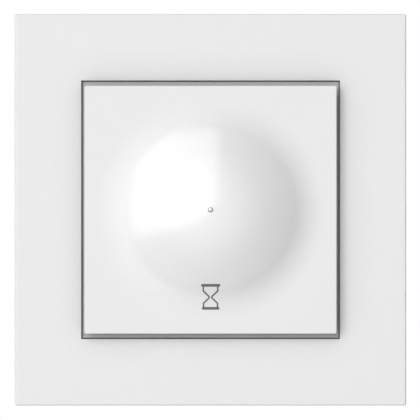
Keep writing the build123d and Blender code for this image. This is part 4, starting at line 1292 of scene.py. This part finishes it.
@dataclass
class MouldMarks(PieceMaker):
    """What the moulds leave on the rear of the frame and of the insert.

    A section's points are (radius, height), counted from the face that it stands on.
    """

    parting_z: float = -5.6
    parting_width: float = 0.14
    parting_rise: float = 0.07
    shell_side: float = 21.5
    shell_r: float = 28.4
    pin_section: Section = ((1.2, 0.0), (1.2, -0.12), (0.984, -0.12), (0.8856, -0.06))
    pin_steps: int = 20
    frame_ceiling: float = 7.5
    frame_band: float = 37.9
    frame_offsets: tuple[float, ...] = (-30.0, 0.0, 30.0)
    dot_section: Section = ((0.38, 0.05), (0.38, -0.13), (0.266, -0.26))
    dot_pitch: float = 1.15
    dot_above_screw: float = 3.5
    dot_smooth_angle: float = 50.0
    port_side: float = 4.6
    port_rim: float = 0.45
    port_rise: float = 0.25
    port_y: float = -22.0
    port_z: float = -13.05

    def parting_line(self) -> None:
        """Leaves the fine ridge where the two halves of the housing's mould met."""
        mesh = packed_copy("housing_base")
        cut_across(mesh, self.parting_z, Kept.OUTLINE)
        inner = [v for v in mesh.verts if max(abs(v.co.x), abs(v.co.y)) < self.shell_side
                 and v.co.xy.length < self.shell_r]
        bmesh.ops.delete(mesh, geom=inner, context="VERTS")
        draw_out_line(mesh, self.parting_width, -self.parting_rise)
        self.shop.piece("housing_parting_line", mesh, "housing")

    def frame_pins(self) -> None:
        """Leaves the ejector pins' witness rings inside the frame."""
        places = [
            place for offset in self.frame_offsets for band in (-self.frame_band, self.frame_band)
            for place in ((band, offset), (offset, band))
        ]
        mesh = turned_spots(self.pin_section, places, self.frame_ceiling, self.pin_steps)
        self.shop.piece("frame_ejector_marks", mesh, "frame")

    def terminal_dots(self) -> None:
        """Raises one to four dots over the terminal screws, to tell them apart."""
        places = []
        for number in TERMINALS:
            screw = Space.of(f"terminal_screw_{number}").middle
            places += [(screw.x + x, screw.y + self.dot_above_screw) for x in row(number, self.dot_pitch)]
        mesh = turned_spots(self.dot_section, places, Space.of("housing_base").low.z)
        self.shop.piece("terminal_number_dots", mesh, "housing", smooth=self.dot_smooth_angle)

    def port_rims(self) -> None:
        """Raises a rim round each wire entry."""
        mesh = bmesh.new()
        for number in TERMINALS:
            x = Space.of(f"terminal_screw_{number}").middle.x
            place = Matrix.Translation((x, self.port_y, self.port_z)) @ Matrix.Rotation(QUARTER_TURN, 4, "X")
            side = self.port_side / 2 + self.port_rim
            corners = bmesh.ops.create_grid(
                mesh, x_segments=1, y_segments=1, size=side, matrix=place
            )["verts"]
            face = corners[0].link_faces[0]
            rim = bmesh.ops.inset_region(
                mesh, faces=[face], thickness=self.port_rim, use_boundary=True, use_even_offset=True
            )["faces"]
            bmesh.ops.delete(mesh, geom=[face], context="FACES_ONLY")
            bmesh.ops.solidify(mesh, geom=rim, thickness=-self.port_rise)
        self.shop.piece("wire_entry_rims", mesh, "terminal_block")

    def build(self) -> None:
        """Leaves every mark."""
        self.parting_line()
        self.frame_pins()
        self.terminal_dots()
        self.port_rims()


@dataclass
class CageTeeth(PieceMaker):
    """The ridges that bite a wire inside each clamp cage."""

    count: int = 3
    pitch: float = 1.3
    rise: float = 0.13
    sunk: float = 0.02
    wall: float = 1.0

    def build(self) -> None:
        """Cuts the ridges in all four cages."""
        for number in TERMINALS:
            space = Space.of(f"terminal_cage_{number}")
            inside = (space.high - space.low).x - 2 * self.wall
            left = space.middle.x - inside / 2
            ceiling = space.high.z - self.wall
            foot, edge = ceiling + self.sunk, ceiling - self.rise
            mesh = bmesh.new()
            for offset in row(self.count, self.pitch):
                y = space.middle.y + offset
                outline = [(left, y - self.rise * 2, foot), (left, y, edge), (left, y + self.rise * 2, foot)]
                add_strip(mesh, outline, Vector((inside, 0, 0)))
            self.shop.piece(f"clamp_cage_{number}_teeth", mesh, "cage_steel", Body(f"clamp_cage_{number}"))


@dataclass
class BoardParts(PieceMaker):
    """The small parts, legs and soldered joints on both circuit boards.

    A small part's numbers are its x, its y, and 1 where it stands upright or 0 where it lies
    across. The leg's section is (y, z) from the chip's middle, and the others are (radius, height).
    """

    chip: Pair = (-10.0, -6.0)
    chip_top: float = 1.0
    legs_per_side: int = 4
    leg_pitch: float = 1.27
    leg_width: float = 0.4
    leg_section: Section = (
        (1.9, 0.6), (2.45, 0.6), (2.7, 0.22), (3.1, 0.22), (3.1, 0.0), (2.56, 0.0), (2.31, 0.4), (1.9, 0.4),
    )
    mark_offset: Pair = (-1.8, -1.3)
    mark_section: Section = ((0.3, -0.02), (0.3, 0.02), (0.24, 0.03))
    resistors: tuple[Point, ...] = (
        (-4.5, -5.0, 0.0), (-4.5, -6.8, 0.0), (-4.5, -8.6, 0.0), (5.2, -5.0, 1.0), (7.0, -5.0, 1.0),
        (-7.0, 6.0, 1.0), (-8.8, 6.0, 1.0), (6.0, 11.0, 0.0), (6.0, 12.8, 0.0), (-1.6, -12.0, 0.0),
    )
    capacitors: tuple[Point, ...] = (
        (-10.0, -0.6, 0.0), (-4.5, -11.0, 1.0), (8.8, -5.0, 1.0), (4.6, -9.5, 0.0), (-6.2, 12.0, 1.0),
        (3.4, 1.9, 1.0), (-3.4, 1.9, 1.0),
    )
    small_size: Point = (1.0, 0.8, 0.42)
    small_rounding: float = 0.05
    small_end: Point = (0.32, 0.86, 0.48)
    small_end_rounding: float = 0.06
    small_end_overlap: float = 0.02
    front_board_face: float = 0.0
    power_board_face: float = -5.4
    header: Pair = (-15.0, 3.0)
    header_pins: int = 5
    header_pitch: float = 2.54
    power_joints: tuple[Pair, ...] = (
        (-11.4, -4.0), (-4.2, -4.0), (-11.4, 10.0), (-4.2, 10.0), (-7.8, -4.6), (0.6, -6.0), (0.6, 4.0),
        (8.45, 12.5), (11.95, 12.5), (-1.05, 16.5), (3.45, 16.5), (8.3, 2.5), (13.3, 2.5),
        (-12.6, -10.8), (-4.2, -10.8), (4.2, -10.8), (12.6, -10.8),
    )
    joint_section: Section = ((0.8, -0.02), (0.8, 0.06), (0.48, 0.24), (0.34, 0.55), (0.3, 0.85), (0.2, 0.95))
    tact: Pair = (0.0, 9.5)
    tact_top: float = 3.5
    rivet_offset: float = 2.25
    rivet_section: Section = ((0.45, -0.02), (0.45, 0.05), (0.34, 0.16), (0.15, 0.2))
    can: Pair = (10.2, 12.5)
    can_end: float = -18.5
    can_section: Section = ((3.3, 0.02), (3.3, -0.06), (3.15, -0.12))
    vent_size: Point = (4.2, 0.35, 0.08)
    vent_rounding: float = 0.03

    def chip_legs(self) -> None:
        """Bends the chip's eight legs and marks its first corner."""
        mesh = bmesh.new()
        for offset in row(self.legs_per_side, self.leg_pitch):
            x = self.chip[0] + offset - self.leg_width / 2
            for side in (-1, 1):
                outline = [(x, self.chip[1] + side * y, z) for y, z in self.leg_section]
                add_strip(mesh, outline, Vector((self.leg_width, 0, 0)))
        self.shop.tinned_piece("timer_chip_legs", mesh)
        place = (self.chip[0] + self.mark_offset[0], self.chip[1] + self.mark_offset[1])
        mark = turned_spots(self.mark_section, [place], self.chip_top)
        self.shop.piece("timer_chip_dot", mark, "chip", finish="white_mark")

    def small_parts(self) -> None:
        """Places the surface-mounted resistors and capacitors with their tinned ends."""
        ends = bmesh.new()
        away = (self.small_size[0] + self.small_end[0]) / 2 - self.small_end_overlap
        for name, finish, places in (
            ("small_resistors", "glaze", self.resistors), ("small_capacitors", "ceramic", self.capacitors),
        ):
            mesh = bmesh.new()
            for x, y, upright in places:
                turn = upright * QUARTER_TURN
                middle = Vector((x, y, self.front_board_face + self.small_size[2] / 2))
                add_block(mesh, middle, self.small_size, self.small_rounding, turn)
                for side in (-1, 1):
                    end = middle + Vector((math.cos(turn), math.sin(turn), 0)) * side * away
                    add_block(ends, end, self.small_end, self.small_end_rounding, turn)
            self.shop.piece(name, mesh, "chip", finish=finish)
        self.shop.tinned_piece("small_part_ends", ends)

    def joints(self) -> None:
        """Solders the header's pins and the legs of the parts on the mains board."""
        pins = [(self.header[0], self.header[1] + y) for y in row(self.header_pins, self.header_pitch)]
        for name, places, level in (
            ("header_joints", pins, self.front_board_face),
            ("power_board_joints", self.power_joints, self.power_board_face),
        ):
            self.shop.tinned_piece(name, turned_spots(self.joint_section, places, level))

    def trimmings(self) -> None:
        """Adds the push switch's rivets and the vented end of the large capacitor."""
        rivets = [(self.tact[0] + a * self.rivet_offset, self.tact[1] + b * self.rivet_offset)
                  for a in (-1, 1) for b in (-1, 1)]
        self.shop.piece(
            "tact_switch_rivets", turned_spots(self.rivet_section, rivets, self.tact_top), "switch_body"
        )
        vent = turned_spots(self.can_section, [self.can], self.can_end)
        middle = Vector((*self.can, self.can_end + self.can_section[-1][1]))
        for turn in (QUARTER_TURN / 2, -QUARTER_TURN / 2):
            add_block(vent, middle, self.vent_size, self.vent_rounding, turn)
        self.shop.tinned_piece("can_vent", vent)

    def build(self) -> None:
        """Fits out both boards."""
        self.chip_legs()
        self.small_parts()
        self.joints()
        self.trimmings()


@dataclass
class Studio:
    """The camera, the soft light, the floor and the white surroundings.

    Lengths are in metres, but the sensor's width is in millimetres, the lamp's power is in watts,
    and the panel's outline, as (x, z) corners, is in shares of its distance.
    """

    view_width: float = 0.08988
    front: float = 0.0095
    distance: float = 4.0
    aim_x: float = -0.000118
    aim_z: float = -0.0000535
    sensor: float = 36.0
    nearest: float = 0.1
    farthest: float = 100.0
    floor_z: float = -1.9
    floor_side: float = 40.0
    floor_colour: Colour = (0.86, 0.86, 0.86)
    floor_roughness: float = 0.8
    panel_distance: float = 3.3
    panel_outline: Section = ((0.055, -0.035), (0.15, 1.5), (-1.5, 1.5), (-1.5, -0.55), (-0.453, -0.24))
    panel_strength: float = 2.96
    ambient: float = 0.15
    rear_lamp_side: float = 5.0
    rear_lamp_power: float = 170.0
    rear_lamp_place: Point = (2.2, 2.8, 1.8)

    @staticmethod
    def mirrored(tree: Tree) -> Socket:
        """1 for a ray that reaches a surface by gloss or through glass, and 0 for any other."""
        path = tree.add("LightPath").outputs
        return tree.maths(Op.HIGHEST, path["Is Glossy Ray"], path["Is Transmission Ray"])

    def camera(self) -> None:
        """Sets a long lens straight in front of the switch."""
        data = bpy.data.cameras.new("camera")
        data.lens = self.sensor * self.distance / self.view_width
        data.sensor_width = self.sensor
        data.clip_start = self.nearest
        data.clip_end = self.farthest
        made = add_to_scene("camera", data)
        made.location = (self.aim_x, -self.front - self.distance, self.aim_z)
        made.rotation_euler = (QUARTER_TURN, 0, 0)
        bpy.context.scene.camera = made

    def floor(self) -> None:
        """Lays a plain pale floor below the switch, clear when it is looked at from underneath."""
        mesh = bmesh.new()
        bmesh.ops.create_grid(mesh, x_segments=1, y_segments=1, size=self.floor_side / 2)
        bmesh.ops.translate(mesh, vec=(0, 0, self.floor_z), verts=mesh.verts)
        material, tree = new_material("floor_paint")
        paint = tree.add(
            "BsdfPrincipled", {"Base Color": self.floor_colour, "Roughness": self.floor_roughness}
        )
        white = tree.add("Emission", {"Color": WHITE, "Strength": 1.0})
        mirrored = tree.add("MixShader", {0: self.mirrored(tree), 1: paint.outputs[0], 2: white.outputs[0]})
        behind = tree.add("NewGeometry").outputs["Backfacing"]
        clear = tree.add("BsdfTransparent")
        one_sided = tree.add("MixShader", {0: behind, 1: mirrored.outputs[0], 2: clear.outputs[0]})
        tree.add("OutputMaterial", {"Surface": one_sided.outputs[0]})
        made = mesh_to_scene("floor", mesh, material)

    def panel(self) -> None:
        """Hangs one large soft light to the upper left, its lower right corner near the lens's axis."""
        d = self.panel_distance
        mesh = bmesh.new()
        mesh.faces.new([mesh.verts.new((x * d, -d, z * d)) for x, z in self.panel_outline])
        bmesh.ops.recalc_face_normals(mesh, faces=mesh.faces)
        bmesh.ops.triangulate(mesh, faces=mesh.faces)
        material, tree = new_material("soft_light")
        lamp = tree.add("Emission", {"Color": WHITE, "Strength": self.panel_strength})
        tree.add("OutputMaterial", {"Surface": lamp.outputs[0]})
        made = mesh_to_scene("soft_light", mesh, material)
        made.visible_camera = False
        made.visible_shadow = False

    def rear_lamp(self) -> None:
        """Hangs a weaker soft lamp behind the switch, for its rear, that metal doesn't mirror."""
        data = bpy.data.lights.new("rear_lamp", "AREA")
        data.shape = "SQUARE"
        data.size = self.rear_lamp_side
        data.energy = self.rear_lamp_power
        made = add_to_scene("rear_lamp", data)
        made.location = self.rear_lamp_place
        made.rotation_euler = (-Vector(self.rear_lamp_place)).to_track_quat("-Z", "Y").to_euler()
        made.visible_camera = False
        made.visible_glossy = False

    def surroundings(self) -> None:
        """Fills the room with even light, and shows white to the lens, to gloss and through glass."""
        world = bpy.data.worlds.new("room")
        world.use_nodes = True
        bpy.context.scene.world = world
        tree = Tree(world.node_tree)
        seen = tree.maths(Op.HIGHEST, tree.add("LightPath").outputs["Is Camera Ray"], self.mirrored(tree))
        light = tree.span(seen, 0.0, 1.0, self.ambient, 1.0)
        sky = tree.add("Background", {"Color": WHITE, "Strength": light})
        tree.add("OutputWorld", {"Surface": sky.outputs[0]})

    def build(self) -> None:
        """Sets up the whole studio, with plain colour handling."""
        bpy.context.scene.view_settings.view_transform = "Standard"
        self.camera()
        self.floor()
        self.panel()
        self.rear_lamp()
        self.surroundings()
        log.info("set up the studio")


def main() -> None:
    """Builds the studio and every new piece in order."""
    logging.basicConfig(level=logging.INFO, format="%(name)s: %(message)s")
    Studio().build()
    shop = Workshop()
    for maker in (KeyFace, KeySprings, Fasteners, ClawBeads, MouldMarks, CageTeeth, BoardParts):
        maker(shop).build()


if __name__ == "__main__":
    main()
